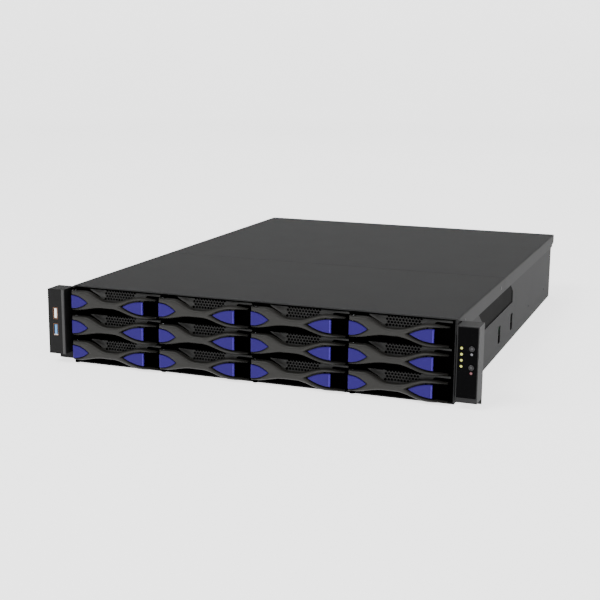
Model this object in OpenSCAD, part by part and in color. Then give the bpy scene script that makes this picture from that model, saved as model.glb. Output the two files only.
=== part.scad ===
// Rack storage server, two rack units tall, with twelve hot-swap drive bays in three rows of four.
// Millimetres. +X is to the right seen from the front, the front faces -Y and +Z is up.
// Y = 0 is the back face of the rack flanges, X = 0 the middle and Z = 0 the underside.

/* [Chassis] */
// Width over the covers
body_w = 434; // [430:1:525]
// Height from the underside to the top of the covers
body_h = 87.5; // [87.5:0.5:106]
// Depth behind the rack flanges
body_d = 566; // [460:1:690]
// How far the chassis stands in front of the rack flanges
front_reach = 10; // [8:0.5:14]
// Thickness of the steel sheet
sheet = 1.2; // [0.8:0.1:1.5]
// Gap between the covers and the walls inside them
cover_gap = 0.3; // [0.3:0.05:0.5]

/* [Covers] */
// Where the fixed front cover ends, behind the rack flanges
seam_y = 222; // [215:1:260]
// Gap between the front cover and the rear lid
seam_gap = 0.6; // [0.4:0.1:1.5]
// Height of the covers' side flanges
flange_h = 16; // [12:0.5:20]
// How far the rear lid overhangs the rear panel
lid_overhang = 12; // [6:0.5:16]
// Height of the rear lid's downturned hem
hem_h = 3.2; // [2:0.1:3.2]
// Length of the window in each side wall, under the flange
window_l = 200; // [120:1:220]
// Height of that window
window_h = 25; // [15:0.5:28]
// Length of the two slots in each side wall, for the hooks of a rack slide
slide_slot_l = 12; // [8:0.5:16]
// Height of those slots
slide_slot_h = 20; // [12:0.5:24]

/* [Rack ears] */
// How far each ear stands out beside the covers
ear_reach = 24.3; // [22:0.1:28]
// Distance from an ear's outer edge to its column of rack screws
rack_screw_inset = 8.75; // [8.75]
// Vertical distance between the two rack screws of an ear
rack_screw_step = 44.45; // [44.45]
// Height of the lower rack screw
rack_screw_z = 21.8; // [20:0.1:24]
// Hole for a rack screw, a tapped M5
rack_hole_d = 5; // [4:0.1:6]
// Depth of the ear housings
ear_d = 21.5; // [18:0.5:26]
// Thickness of the steel flanges behind the ear housings
ear_flange_t = 2; // [1.5:0.1:3]
// Height of the underside of the left ear housing
left_ear_bottom = 11; // [4:0.5:16]
// Height of the underside of the right ear housing
right_ear_bottom = 7; // [4:0.5:10]
// Height of the top of both ear housings
ear_top = 84; // [80:0.5:86]

/* [Drive bays] */
// Width of a 3.5 inch drive
drive_w = 101.6; // [101.6]
// Height of a 3.5 inch drive
drive_h = 26.1; // [20:0.1:26.1]
// Length of a 3.5 inch drive
drive_l = 147; // [140:1:147]
// Depth of a tray's front bezel
bezel_d = 12; // [10:0.5:16]
// Gap between neighbouring bezels
bezel_gap = 0.6; // [0.5:0.1:1.2]
// Thickness of the drive cage's upright dividers
divider_t = 1; // [0.8:0.1:1.2]
// Depth of the finger pocket in a bezel
pocket_d = 9; // [6:0.5:10]

/* [Levers] */
// Thickness of a lever
lever_t = 7.5; // [6:0.5:8]
// Gap between a closed lever and its bezel
lever_back_gap = 3.5; // [3:0.5:5]
// Height of a lever at its waist
waist_h = 7.8; // [6:0.1:9]
// Radius of a lever's hinge pin
pin_r = 1.2; // [1:0.05:1.4]
// Radial clearance between the pin and the lever's bore
pin_fit = 0.05; // [0.02:0.01:0.1]
// Travel of a release latch
latch_travel = 2; // [1.5:0.1:2.2]

/* [Cooling] */
// Side of a fan frame
fan_side = 80; // [60:1:80]
// Depth of a fan frame
fan_d = 38; // [25:1:38]
// Distance between fan centres
fan_pitch = 128; // [100:1:140]
// Radius of a rotor's shaft
shaft_r = 2; // [1.5:0.1:3]
// Radial clearance between the shaft and the rotor
shaft_fit = 0.05; // [0.02:0.01:0.1]

/* [Power supplies] */
// Width of a power supply
psu_w = 86; // [70:1:90]
// Height of a power supply
psu_h = 39.5; // [36:0.5:40]
// Length of a power supply
psu_l = 185; // [150:1:200]
// Clearance around a power supply
psu_gap = 0.6; // [0.4:0.1:1]

/* [Front controls] */
// Radius of the two push buttons
button_r = 2.6; // [2:0.1:3]
// Radius of an indicator lens
lens_r = 1.3; // [1:0.1:1.5]
// Travel of a push button
button_travel = 0.8; // [0.5:0.1:1]

/* [Hidden] */
$fn = 40;
eps = 0.01;
rows = 3;
cols = 4;
fan_count = 3;

// Chassis faces
half_w = body_w / 2;
wall_out = half_w - sheet - cover_gap;
wall_in = wall_out - sheet;
front_y = -front_reach;
rear_y = body_d;
cover_z = body_h - sheet;
wall_top = cover_z - cover_gap;

// Drive bays
row_base = sheet + 0.2;
pitch_x = 2 * (wall_in - 0.2) / cols;
pitch_z = (cover_z - row_base) / rows;
bezel_w = pitch_x - bezel_gap;
bezel_h = pitch_z - 0.6;
bezel_back = front_y + bezel_d;
carrier_w = pitch_x - divider_t - 2.1;
carrier_h = pitch_z - 1.4;
strap_t = 0.6;
drive_y = bezel_back + 6;
drive_end = drive_y + drive_l;
ledge_t = 0.8;
ledge_w = 2;
backplane_t = 2;
backplane_y = drive_end + 3;
socket_gap = 0.3;
joint_gap = 0.05;
bezel_wall = 1.2;
upper_scoop = [-32, 24];
upper_scoop_d = 5;
lower_scoop = [-40, 24];
lower_scoop_d = 4;
pocket_x = 26;
strap_l = 14;
socket_w = 32;
socket_low = -11;
socket_high = -5;
vent_half = 9;

// Levers, in a bay's own frame: x from the bay's middle, z from the lever's centre line
lever_drop = 2;
lever_back = front_y - lever_back_gap;
lever_front = lever_back - lever_t;
lever_l = bezel_w / 2 - 0.2;
tip_x = lever_l - 3.4;
pin_x = -lever_l + 3.5;
pin_y = lever_front + 5.5;
bore_r = pin_r + pin_fit;
waist = waist_h / 2;
flare = bezel_h / 2 - 2.6;
left_rise = bezel_h / 2 - 0.6;
left_drop = 8.4;
fork_x = 7.5;
fork_mouth = 35;
fork_half = 8.5;
latch_half = 7;
latch_apex = fork_x + latch_travel + 0.6;
latch_inset = 0.7;
web_t = 1.5;
web_end = 25;
hook_x = 33;
insert_gap = 0.35;
insert_x0 = -lever_l;
insert_x1 = -33.5;
insert_half = 6.9;
insert_floor = 3.4;
lug_gap = 0.3;
left_xs = [for (i = [0 : 7]) -lever_l + i * (lever_l - 10) / 7];
right_xs = [for (i = [0 : 9]) -4 + i * (tip_x + 4) / 9];
fork_xs = [for (i = [0 : 6]) fork_x + i * (fork_mouth - fork_x) / 6];

// Cooling
fan_wall_y = backplane_y + backplane_t + 16;
fan_y = fan_wall_y + sheet;
fan_z = sheet + 1.5 + fan_side / 2;
rotor_r = fan_side / 2 - 3.5;
hub_r = 17;
stator_t = 4;
blade_count = 7;

// Power supplies stand at the rear left, one above the other
psu_x = -wall_in + psu_gap;
psu_y = rear_y - psu_l;
psu_pitch = psu_h + 2 * psu_gap + strap_t;
psu_base = sheet + psu_gap;
inlet_w = 24;
inlet_h = 17;
inlet_d = 15;
inlet_x = 58;
pin_places = [[-7, 5], [0, 12], [7, 5]];
handle_x = [8, 38];
handle_z = [13, 27];
handle_t = 4;
handle_reach = 24;
tab_x = [12, 5];
tab_z = [6, 32];
thumb_z = [12, 26];
thumb_reach = 14;
guide_lead = 12;

// Board and rear ports
board_t = 1.6;
board_z = 8;
board_x = psu_x + psu_w + 12;
board_y = fan_y + fan_d + 14;
board_w = wall_in - 10 - board_x;
board_d = rear_y - 14 - board_y;
standoff_inset = 12;
standoff_r = 3;
sink_base = 78;
sink_fins = 11;
sink_fin_t = 1.6;
sink_h = 52;
memory_l = 132;
memory_h = 31;
memory_t = 1.3;
memory_pitch = 8;
slot_pitch = 20.32;
slot_count = 6;
slot_w = 12;
slot_h = 62;
slots_x = wall_in - 12 - slot_count * slot_pitch;
port_z = board_z + board_t + 1;
lan_w = 34;
lan_h = 13.4;
lan_x = board_x + 10;
sas_w = 40;
sas_h = 11;
sas_x = lan_x + lan_w + 12;
vga_w = 31;
vga_h = 12.4;
vga_x = sas_x + sas_w + 10;
slot_z = board_z + board_t + 3;
slot_lap = 2;
port_proud = 1.5;

// Front ears
ear_front = -ear_flange_t - ear_d;
ear_out = half_w + ear_reach;
rack_screw_x = ear_out - rack_screw_inset;
ear_in = half_w + 2.5;
left_ear_in = half_w + 4.5;
led_x = ear_out - 17;
button_x = ear_out - 6.9;
control_top_z = 62;
led_step = 6.1;
button_zs = [control_top_z, control_top_z - 18.8];
lens_places = concat(
    [for (k = [0 : 3]) [led_x, control_top_z - k * led_step]],
    [for (z = button_zs) [button_x, z - 5.7]]
);
inset_d = 1.5;
usb_x = -ear_out + 8.8;
usb_z = [56.8, 38.5];
window_y = seam_y - 138;
window_slant = 34;
window_step = 14;
window_lap = 4;
side_plate_end = min(window_y + window_l + 10, psu_y - guide_lead - 2);
slide_slot_y = [seam_y - 13, seam_y + 60];
slide_slot_z = 22.5;
rail_hole_y = [rear_y - 168.5, rear_y - 48.5];
rail_hole_z = 18.7;
rail_hole_d = 3.3;

// Screw heads
cover_screw_r = 2.4;
cover_screw_t = 0.5;
ear_screw_r = 2.2;
ear_screw_t = 0.1;
ear_screw_zs = [16, 70];
board_screw_r = 2.8;
board_screw_t = 2;

// ---- shared shapes ----

// A box given by its low corner and its high corner
module block(lo, hi) {
    translate(lo) cube(hi - lo);
}

// An outline drawn in X and Z, made thick from y0 back to y1
module upright(y0, y1) {
    translate([0, y1, 0]) rotate([90, 0, 0]) linear_extrude(y1 - y0) children();
}

// A cylinder along Y from y0 to y1
module rod_y(x, z, r, y0, y1) {
    translate([x, y1, z]) rotate([90, 0, 0]) cylinder(r = r, h = y1 - y0);
}

// Middle of a bay: row 1 is the top row and column 1 the left one
function bay_x(c) = (c - (cols + 1) / 2) * pitch_x;
function bay_z(r) = row_base + (rows - r + 0.5) * pitch_z;

// 0 to 1 along a smooth step
function clamp01(t) = min(1, max(0, t));
function smooth(t) = pow(clamp01(t), 2) * (3 - 2 * clamp01(t));

// ---- chassis ----

// The long window under the cover's flange, drawn in Y and Z, with a slanted front end
module window_outline() {
    top = body_h - flange_h + window_lap;
    low = body_h - flange_h - window_h;
    end = window_y + window_l;
    polygon([
        [window_y, top],
        [end - 24, top],
        [end, low + window_step],
        [end, low],
        [window_y + window_slant, low],
        [window_y + window_slant - 8, low + window_step - 2]
    ]);
}

module side_windows(side) {
    x0 = side * wall_out;
    lo = min(x0, x0 - side * sheet) - 1;
    hi = max(x0, x0 - side * sheet) + 1;
    translate([lo, 0, 0]) rotate([90, 0, 90]) linear_extrude(hi - lo) window_outline();
    for (y = slide_slot_y)
        block(
            [lo, y - slide_slot_l / 2, slide_slot_z - slide_slot_h / 2],
            [hi, y + slide_slot_l / 2, slide_slot_z + slide_slot_h / 2]
        );
    for (y = rail_hole_y)
        translate([lo, y, rail_hole_z]) rotate([0, 90, 0]) cylinder(d = rail_hole_d, h = hi - lo);
}

module chassis_tub() {
    color("#5a5a5c")
    difference() {
        union() {
            block([-wall_out, front_y, 0], [wall_out, rear_y, sheet]);
            for (s = [-1, 1])
                block(
                    [s > 0 ? wall_in : -wall_out, front_y, 0],
                    [s > 0 ? wall_out : -wall_in, rear_y, wall_top]
                );
        }
        side_windows(-1);
        side_windows(1);
    }
}

// One length of cover: a top plate with a flange down each side
module cover(y0, y1) {
    block([-half_w, y0, cover_z], [half_w, y1, body_h]);
    for (s = [-1, 1])
        block(
            [s > 0 ? half_w - sheet : -half_w, y0, body_h - flange_h],
            [s > 0 ? half_w : -half_w + sheet, y1, cover_z + eps]
        );
}

module front_cover() {
    color("#4a4a4b") cover(front_y, seam_y - seam_gap / 2);
}

module rear_lid() {
    hem_y = rear_y + lid_overhang;
    color("#4a4a4b") {
        cover(seam_y + seam_gap / 2, hem_y);
        block([-half_w, hem_y - sheet, body_h - hem_h], [half_w, hem_y, cover_z + eps]);
    }
}

// ---- drive cage, backplane ----

module drive_cage() {
    y0 = bezel_back + 1;
    y1 = backplane_y;
    color("#8f9194") {
        for (i = [0 : cols]) {
            x = (i - cols / 2) * pitch_x;
            lo = i == 0 ? x + 0.05 : x - divider_t / 2;
            hi = i == cols ? x - 0.05 : x + divider_t / 2;
            block([lo, y0, sheet], [hi, y1, cover_z]);
            // the outer plates run back behind the windows in the side walls
            if (i == 0 || i == cols)
                block([lo, y0, body_h - flange_h - window_h - window_lap], [hi, side_plate_end, cover_z]);
            for (k = [1 : rows - 1]) {
                z = row_base + k * pitch_z;
                a = i == 0 ? lo : lo - ledge_w;
                b = i == cols ? hi : hi + ledge_w;
                block([a, y0, z - ledge_t / 2], [b, y1, z + ledge_t / 2]);
            }
        }
    }
}

module backplane() {
    edge = wall_in - 1.5;
    color("#1f5a3a")
    difference() {
        block([-edge, backplane_y, sheet + 2], [edge, backplane_y + backplane_t, cover_z - 2]);
        for (c = [1 : cols], r = [1 : rows])
            block(
                [bay_x(c) - 2, backplane_y - 1, bay_z(r) - vent_half],
                [bay_x(c) + 38, backplane_y + backplane_t + 1, bay_z(r) + vent_half]
            );
    }
    color("#161616")
    for (c = [1 : cols], r = [1 : rows])
        block(
            [bay_x(c) - 8 - socket_w, drive_end + socket_gap, bay_z(r) + socket_low],
            [bay_x(c) - 8, backplane_y, bay_z(r) + socket_high]
        );
}

// ---- trays ----

// Half height of the fork between the right prongs
function fork_edge(x) =
    let (t = clamp01((x - fork_x) / (fork_mouth - fork_x)))
    fork_half * (1 - pow(1 - t, 2));

// Half height of the release latch
function latch_edge(x) =
    let (t = clamp01((x - latch_apex) / (fork_mouth - latch_apex)))
    latch_half * (1 - pow(1 - t, 2));

// Upper and lower edge of a lever: a waist that flares to both ends
function lever_upper(x) =
    x > -6
        ? waist + (flare - waist) * smooth((x + 3) / 33) - 1.3 * smooth((x - 34) / 18)
        : waist + (left_rise - waist) * smooth((-10 - x) / 27);
function lever_lower(x) =
    x > -6
        ? -lever_upper(x)
        : -waist - (left_drop - waist) * smooth((-16 - x) / 32);

// Half height of the window that holds the blue insert, or of the insert itself at grow 0
function insert_edge(x, grow) =
    let (t = clamp01((insert_x1 - x) / (insert_x1 - insert_x0)))
    (insert_half + grow) * (1 - pow(1 - t, 2.2));

module lever_outline() {
    difference() {
        polygon(concat(
            [for (x = left_xs) [x, lever_upper(x)]],
            [for (x = right_xs) [x, lever_upper(x)]],
            [for (i = [9 : -1 : 0]) [right_xs[i], lever_lower(right_xs[i])]],
            [for (i = [7 : -1 : 0]) [left_xs[i], lever_lower(left_xs[i])]]
        ));
        // fork, open to the right
        polygon(concat(
            [for (x = fork_xs) [x, fork_edge(x)]],
            [[tip_x + 1, fork_half + 0.4], [tip_x + 1, -fork_half - 0.4]],
            [for (i = [6 : -1 : 0]) [fork_xs[i], -fork_edge(fork_xs[i])]]
        ));
    }
}

module insert_outline(grow) {
    xs = [for (i = [0 : 5]) insert_x0 - grow + i * (insert_x1 - insert_x0 + grow) / 5];
    polygon(concat(
        [for (x = xs) [x, insert_edge(x, grow)]],
        [for (i = [5 : -1 : 0]) [xs[i], -insert_edge(xs[i], grow)]]
    ));
}

module in_bay(r, c) {
    translate([bay_x(c), 0, bay_z(r)]) children();
}

module on_lever(r, c) {
    translate([bay_x(c), 0, bay_z(r) - lever_drop]) children();
}

// The bezel, with its scoops, its finger pocket and the two hinge lugs
module bezel() {
    hw = bezel_w / 2;
    hh = bezel_h / 2;
    lug_x = pin_x + 3;
    difference() {
        union() {
            block([-hw, front_y, -hh], [hw, bezel_back, hh]);
            block([-hw, pin_y - 2.6, hh - 2], [lug_x, front_y + eps, hh]);
            block([-hw, pin_y - 2.6, -hh], [lug_x, front_y + eps, -lever_drop - left_drop - lug_gap]);
        }
        // upper scoop, behind the lever's waist
        block(
            [upper_scoop[0], front_y - 1, 1],
            [upper_scoop[1], front_y + upper_scoop_d, hh - bezel_wall]
        );
        // lower scoop
        block(
            [lower_scoop[0], front_y - 1, -hh + bezel_wall],
            [lower_scoop[1], front_y + lower_scoop_d, -lever_drop - waist]
        );
        // finger pocket
        block([pocket_x, front_y - 1, -hh + 2.2], [hw - 1.5, front_y + pocket_d, hh - 3.2]);
        // room for the turning end of the lever
        block([-hw - 1, front_y - eps, -lever_drop - left_drop - lug_gap], [pin_x + 3, front_y + 1, hh - 2]);
        translate([pin_x, pin_y, -hh - 1]) cylinder(r = pin_r, h = 2 * hh + 2);
    }
}

module carrier_rails() {
    rail_t = (carrier_w - drive_w) / 2 - 0.1;
    y1 = drive_end - 8;
    for (s = [-1, 1])
        block(
            [s > 0 ? carrier_w / 2 - rail_t : -carrier_w / 2, bezel_back + joint_gap, -carrier_h / 2],
            [s > 0 ? carrier_w / 2 : -carrier_w / 2 + rail_t, y1, carrier_h / 2 - 4]
        );
    for (y = [bezel_back + 30, y1 - strap_l])
        block([-carrier_w / 2, y, -carrier_h / 2], [carrier_w / 2, y + strap_l, -carrier_h / 2 + strap_t]);
}

module hard_drive() {
    z0 = -carrier_h / 2 + strap_t + 0.05;
    color("#a9abad")
    difference() {
        block([-drive_w / 2, drive_y, z0], [drive_w / 2, drive_end, z0 + drive_h]);
        block(
            [-drive_w / 2 + 6, drive_y + 6, z0 + drive_h - 1],
            [drive_w / 2 - 6, drive_end - 20, z0 + drive_h + 1]
        );
    }
}

module tray(r, c) {
    in_bay(r, c) {
        color("#2e2e2f") bezel();
        color("#9b9da0") carrier_rails();
        color("#8d8d8f")
        translate([pin_x, pin_y, -bezel_h / 2 + 0.4]) cylinder(r = pin_r - 0.01, h = bezel_h - 0.8);
        hard_drive();
    }
}

// The handle, with a window for its blue insert and a web that carries the release latch
module lever(r, c) {
    on_lever(r, c) {
        color("#4b4a47")
        difference() {
            union() {
                upright(lever_front, lever_back) lever_outline();
                upright(lever_back - web_t, lever_back)
                    polygon([
                        [fork_x - 1, 1],
                        [web_end, fork_half],
                        [web_end, -fork_half],
                        [fork_x - 1, -1]
                    ]);
            }
            // window for the insert, with a floor behind it
            upright(lever_front - 1, lever_front + insert_floor) insert_outline(insert_gap);
            // room around the hinge pin behind the insert
            block(
                [-lever_l - 1, lever_front + insert_floor - eps, -insert_half + 2.2],
                [insert_x0 + 9, lever_back + 1, insert_half - 1]
            );
            // slot for the latch's stem
            block([14, lever_back - web_t - 1, -1.6], [23, lever_back + 1, 1.6]);
            translate([pin_x, pin_y, -bezel_h]) cylinder(r = bore_r, h = 2 * bezel_h);
        }
        color("#4a45b0") upright(lever_front + 0.5, lever_front + 3.3) insert_outline(0);
    }
}

module release_latch(r, c) {
    xs = [for (i = [0 : 6]) latch_apex + i * (fork_mouth - latch_apex) / 6];
    web_front = lever_back - web_t;
    on_lever(r, c)
    color("#4a45b0") {
        upright(lever_front + latch_inset, web_front - 0.35)
            polygon(concat(
                [for (x = xs) [x, latch_edge(x)]],
                [for (i = [6 : -1 : 0]) [xs[i], -latch_edge(xs[i])]]
            ));
        // stem through the web's slot and the head that keeps it there
        block([14.5 + latch_travel, web_front - 1, -1.25], [22.6, lever_back + 0.5, 1.25]);
        block([13.5 + latch_travel, lever_back + 0.35, -3.5], [24.5, lever_back + 1.6, 3.5]);
        // hook that reaches into the finger pocket
        block([hook_x - 1.2, web_front - 1, -3], [hook_x, front_y + 3, 3]);
    }
}

// ---- cooling ----

function fan_x(i) = (i - (fan_count + 1) / 2) * fan_pitch;

module fan_frame(i) {
    half = fan_side / 2;
    bore = half - 1.5;
    difference() {
        block([fan_x(i) - half, fan_y, fan_z - half], [fan_x(i) + half, fan_y + fan_d, fan_z + half]);
        rod_y(fan_x(i), fan_z, bore, fan_y - 1, fan_y + fan_d + 1);
    }
    // motor plate on four struts, and the shaft
    stator_y = fan_y + fan_d - stator_t;
    rod_y(fan_x(i), fan_z, hub_r, stator_y, fan_y + fan_d);
    for (a = [45 : 90 : 315])
        translate([fan_x(i), 0, fan_z]) rotate([0, a, 0])
            block([-1.5, stator_y, hub_r - 1], [1.5, fan_y + fan_d, bore + 1]);
    rod_y(fan_x(i), fan_z, shaft_r, fan_y + 8, stator_y + 1);
}

module fan_wall() {
    edge = wall_in - 1;
    color("#9a9c9f")
    difference() {
        block([-edge, fan_wall_y, sheet], [edge, fan_wall_y + sheet, cover_z - 1.5]);
        for (i = [1 : fan_count])
            rod_y(fan_x(i), fan_z, fan_side / 2 - 1.5, fan_wall_y - 1, fan_wall_y + sheet + 1);
    }
    color("#1b1b1c") for (i = [1 : fan_count]) fan_frame(i);
}

module fan_rotor(i) {
    hub_y0 = fan_y + 5;
    hub_y1 = fan_y + fan_d - stator_t - 0.6;
    bore = shaft_r + shaft_fit;
    color("#232324")
    difference() {
        union() {
            rod_y(fan_x(i), fan_z, hub_r, hub_y0, hub_y1);
            for (k = [0 : blade_count - 1])
                translate([fan_x(i), (hub_y0 + hub_y1) / 2, fan_z])
                    rotate([0, k * 360 / blade_count, 0]) translate([0, 0, hub_r - 1]) rotate([0, 0, 52])
                        translate([-9, -0.8, 0]) cube([18, 1.6, rotor_r - hub_r - 1]);
        }
        rod_y(fan_x(i), fan_z, bore, hub_y0 - 1, hub_y1 + 1);
    }
}

// ---- board ----

module heat_sink(x, y) {
    half = sink_base / 2;
    z0 = board_z + board_t + 4;
    block([x - half / 2, y - half / 2, board_z + board_t], [x + half / 2, y + half / 2, z0 + 1]);
    block([x - half, y - half, z0], [x + half, y + half, z0 + 6]);
    for (k = [0 : sink_fins - 1]) {
        fin_x = x - half + k * (sink_base - sink_fin_t) / (sink_fins - 1);
        block([fin_x, y - half, z0 + 5], [fin_x + sink_fin_t, y + half, z0 + sink_h]);
    }
}

module motherboard() {
    board_mid = board_y + board_d * 0.36;
    board_x1 = board_x + board_w;
    top = board_z + board_t;
    color("#1d4f36") block([board_x, board_y, board_z], [board_x1, board_y + board_d, top]);
    color("#b9babc") {
        for (x = [board_x + standoff_inset, board_x1 - standoff_inset])
            for (y = [board_y + standoff_inset, board_mid, board_y + board_d - standoff_inset])
                translate([x, y, sheet]) cylinder(r = standoff_r, h = board_z - sheet);
        for (share = [0.29, 0.71]) heat_sink(board_x + board_w * share, board_mid);
    }
    // memory modules in rows beside the processors
    color("#24452f")
    for (x0 = [board_x + 6, board_x1 - 30], k = [0 : 3]) {
        x = x0 + k * memory_pitch;
        block([x, board_mid - memory_l / 2, top], [x + memory_t, board_mid + memory_l / 2, top + memory_h]);
    }
}

// ---- rear ----

module port_cut(x, w, h) {
    block(
        [x - cover_gap, rear_y - sheet - 1, port_z - cover_gap],
        [x + w + cover_gap, rear_y + 1, port_z + h + cover_gap]
    );
}

module rear_panel() {
    panel_top = cover_z - 0.6;
    bay_x1 = psu_x + psu_w + psu_gap;
    color("#7d7f82")
    difference() {
        block([-wall_in, rear_y - sheet, sheet], [wall_in, rear_y, panel_top]);
        block([-wall_in - 1, rear_y - sheet - 1, sheet - 1], [bay_x1, rear_y + 1, panel_top + 1]);
        for (k = [0 : slot_count - 1])
            block(
                [slots_x + k * slot_pitch, rear_y - sheet - 1, slot_z],
                [slots_x + k * slot_pitch + slot_w, rear_y + 1, slot_z + slot_h]
            );
        port_cut(lan_x, lan_w, lan_h);
        port_cut(sas_x, sas_w, sas_h);
        port_cut(vga_x, vga_w, vga_h);
    }
    // blank covers in the card slots
    color("#8a8c8f")
    for (k = [0 : slot_count - 1])
        block(
            [slots_x + k * slot_pitch - slot_lap, rear_y - 2 * sheet - 0.2, slot_z - slot_lap],
            [slots_x + k * slot_pitch + slot_w + slot_lap, rear_y - sheet - 0.2, slot_z + slot_lap + slot_h]
        );
    // bay wall and shelf that guide the power supplies
    color("#7d7f82") {
        block([bay_x1, psu_y - guide_lead, sheet], [bay_x1 + sheet, rear_y - sheet - joint_gap, panel_top]);
        block(
            [-wall_in, psu_y - guide_lead, psu_base + psu_h + psu_gap],
            [bay_x1 - joint_gap, rear_y, psu_base + psu_h + psu_gap + strap_t]
        );
    }
}

// A shell with a row of open sockets in its rear face
module socket_shell(x, w, h, depth, count, socket_w, socket_h, socket_d) {
    step = w / count;
    floor_y = rear_y + port_proud - socket_d;
    difference() {
        block([x, rear_y - depth, port_z], [x + w, rear_y + port_proud, port_z + h]);
        for (k = [0 : count - 1])
            block(
                [x + (k + 0.5) * step - socket_w / 2, floor_y, port_z + (h - socket_h) / 2],
                [x + (k + 0.5) * step + socket_w / 2, rear_y + 3, port_z + (h + socket_h) / 2]
            );
    }
}

module rear_ports() {
    color("#a5a7aa") {
        socket_shell(lan_x, lan_w, lan_h, 20, 2, 11.7, 8.5, 12);
        socket_shell(sas_x, sas_w, sas_h, 45, 2, 17, 8.6, 34);
    }
    color("#2a3f8f") block([vga_x, rear_y - 14, port_z], [vga_x + vga_w, rear_y + 0.8, port_z + vga_h]);
}

function psu_z(i) = psu_base + (i - 1) * psu_pitch;

// One power supply: its case, its inlet with three pins and its handle
module power_supply(i) {
    z0 = psu_z(i);
    z1 = z0 + psu_h;
    x1 = psu_x + psu_w;
    ix = psu_x + inlet_x;
    iz = z0 + psu_h / 2 - inlet_h / 2;
    color("#97999c")
    difference() {
        block([psu_x, psu_y, z0], [x1, rear_y, z1]);
        block([ix - inlet_w / 2, rear_y - inlet_d, iz], [ix + inlet_w / 2, rear_y + 1, iz + inlet_h]);
    }
    color("#c8b070")
    for (p = pin_places)
        block(
            [ix + p[0] - 1, rear_y - inlet_d - eps, iz + p[1] - 2],
            [ix + p[0] + 1, rear_y - 3, iz + p[1] + 2]
        );
    // handle, a bail of flat bar
    color("#1c1c1d") {
        for (x = [psu_x + handle_x[0], psu_x + handle_x[1] - handle_t])
            block(
                [x, rear_y - eps, z0 + handle_z[0]],
                [x + handle_t, rear_y + handle_reach, z0 + handle_z[1]]
            );
        block(
            [psu_x + handle_x[0], rear_y + handle_reach - handle_t, z0 + handle_z[0]],
            [psu_x + handle_x[1], rear_y + handle_reach, z0 + handle_z[1]]
        );
    }
}

// A thumb tab that slides across the supply's rear face
module supply_latch(i) {
    x1 = psu_x + psu_w;
    z0 = psu_z(i);
    color("#2f6f4f") {
        block([x1 - tab_x[0], rear_y + 0.3, z0 + tab_z[0]], [x1 - tab_x[1], rear_y + 3, z0 + tab_z[1]]);
        block(
            [x1 - tab_x[0], rear_y + 2, z0 + thumb_z[0]],
            [x1 - tab_x[0] + 2.5, rear_y + thumb_reach, z0 + thumb_z[1]]
        );
    }
}

// ---- ears and front controls ----

module rack_screw_holes(side) {
    for (k = [0, 1])
        rod_y(side * rack_screw_x, rack_screw_z + k * rack_screw_step, rack_hole_d / 2, -10, 1);
}

// The steel flange behind an ear's housing, notched for the cover's flange
module ear_flange(side) {
    notch_z = body_h - flange_h - cover_gap;
    difference() {
        block(
            [side > 0 ? wall_out : -ear_out, -ear_flange_t, sheet],
            [side > 0 ? ear_out : -wall_out, 0, ear_top]
        );
        block(
            [side > 0 ? wall_out - 1 : -half_w - cover_gap, -ear_flange_t - 1, notch_z],
            [side > 0 ? half_w + cover_gap : -wall_out + 1, 1, ear_top + 1]
        );
    }
}

module left_ear() {
    color("#262626")
    difference() {
        union() {
            block([-ear_out, ear_front, left_ear_bottom], [-left_ear_in, -ear_flange_t + eps, ear_top]);
            ear_flange(-1);
        }
        rack_screw_holes(-1);
        for (z = usb_z) usb_box(z, 0.1, ear_front - 1, ear_front + 14);
    }
}

module usb_box(z, grow, y0, y1) {
    block([usb_x - 2.9 - grow, y0, z - 6.6 - grow], [usb_x + 2.9 + grow, y1, z + 6.6 + grow]);
}

module usb_ports() {
    color("#c9cbce")
    for (z = usb_z)
        difference() {
            usb_box(z, 0, ear_front + 0.2, ear_front + 13.8);
            usb_box(z, -0.4, ear_front - 1, ear_front + 12);
        }
    color("#3f7fc0")
    for (z = usb_z)
        block([usb_x - 0.2, ear_front + 1, z - 5.6], [usb_x + 1.6, ear_front + 12 + eps, z + 5.6]);
}

module right_ear() {
    color("#6a6b6d")
    difference() {
        union() {
            block([ear_in, ear_front, right_ear_bottom], [ear_out, -ear_flange_t + eps, ear_top]);
            ear_flange(1);
        }
        rack_screw_holes(1);
        block(
            [ear_in + 0.8, ear_front - 1, right_ear_bottom + 5],
            [ear_out - 1, ear_front + inset_d, ear_top - 0.8]
        );
        for (z = button_zs) rod_y(button_x, z, button_r + 0.3, ear_front, ear_front + 9);
        for (p = lens_places) rod_y(p[0], p[1], lens_r + 0.1, ear_front, ear_front + 5);
    }
}

module control_panel() {
    color("#171718")
    difference() {
        block(
            [ear_in + 1, ear_front + 0.3, right_ear_bottom + 5.2],
            [ear_out - 1.2, ear_front + inset_d, ear_top - 1]
        );
        for (z = button_zs) rod_y(button_x, z, button_r + 0.3, ear_front - 1, ear_front + 3);
        for (p = lens_places) rod_y(p[0], p[1], lens_r + 0.1, ear_front - 1, ear_front + 3);
    }
}

module indicator_lenses() {
    color("#c6d860")
    for (p = lens_places) rod_y(p[0], p[1], lens_r, ear_front + 0.1, ear_front + 4.5);
}

module push_button(z) {
    color("#2b2b2c") {
        rod_y(button_x, z, button_r, ear_front - button_travel + 0.3, ear_front + 6);
    }
}

// ---- fasteners ----

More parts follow.
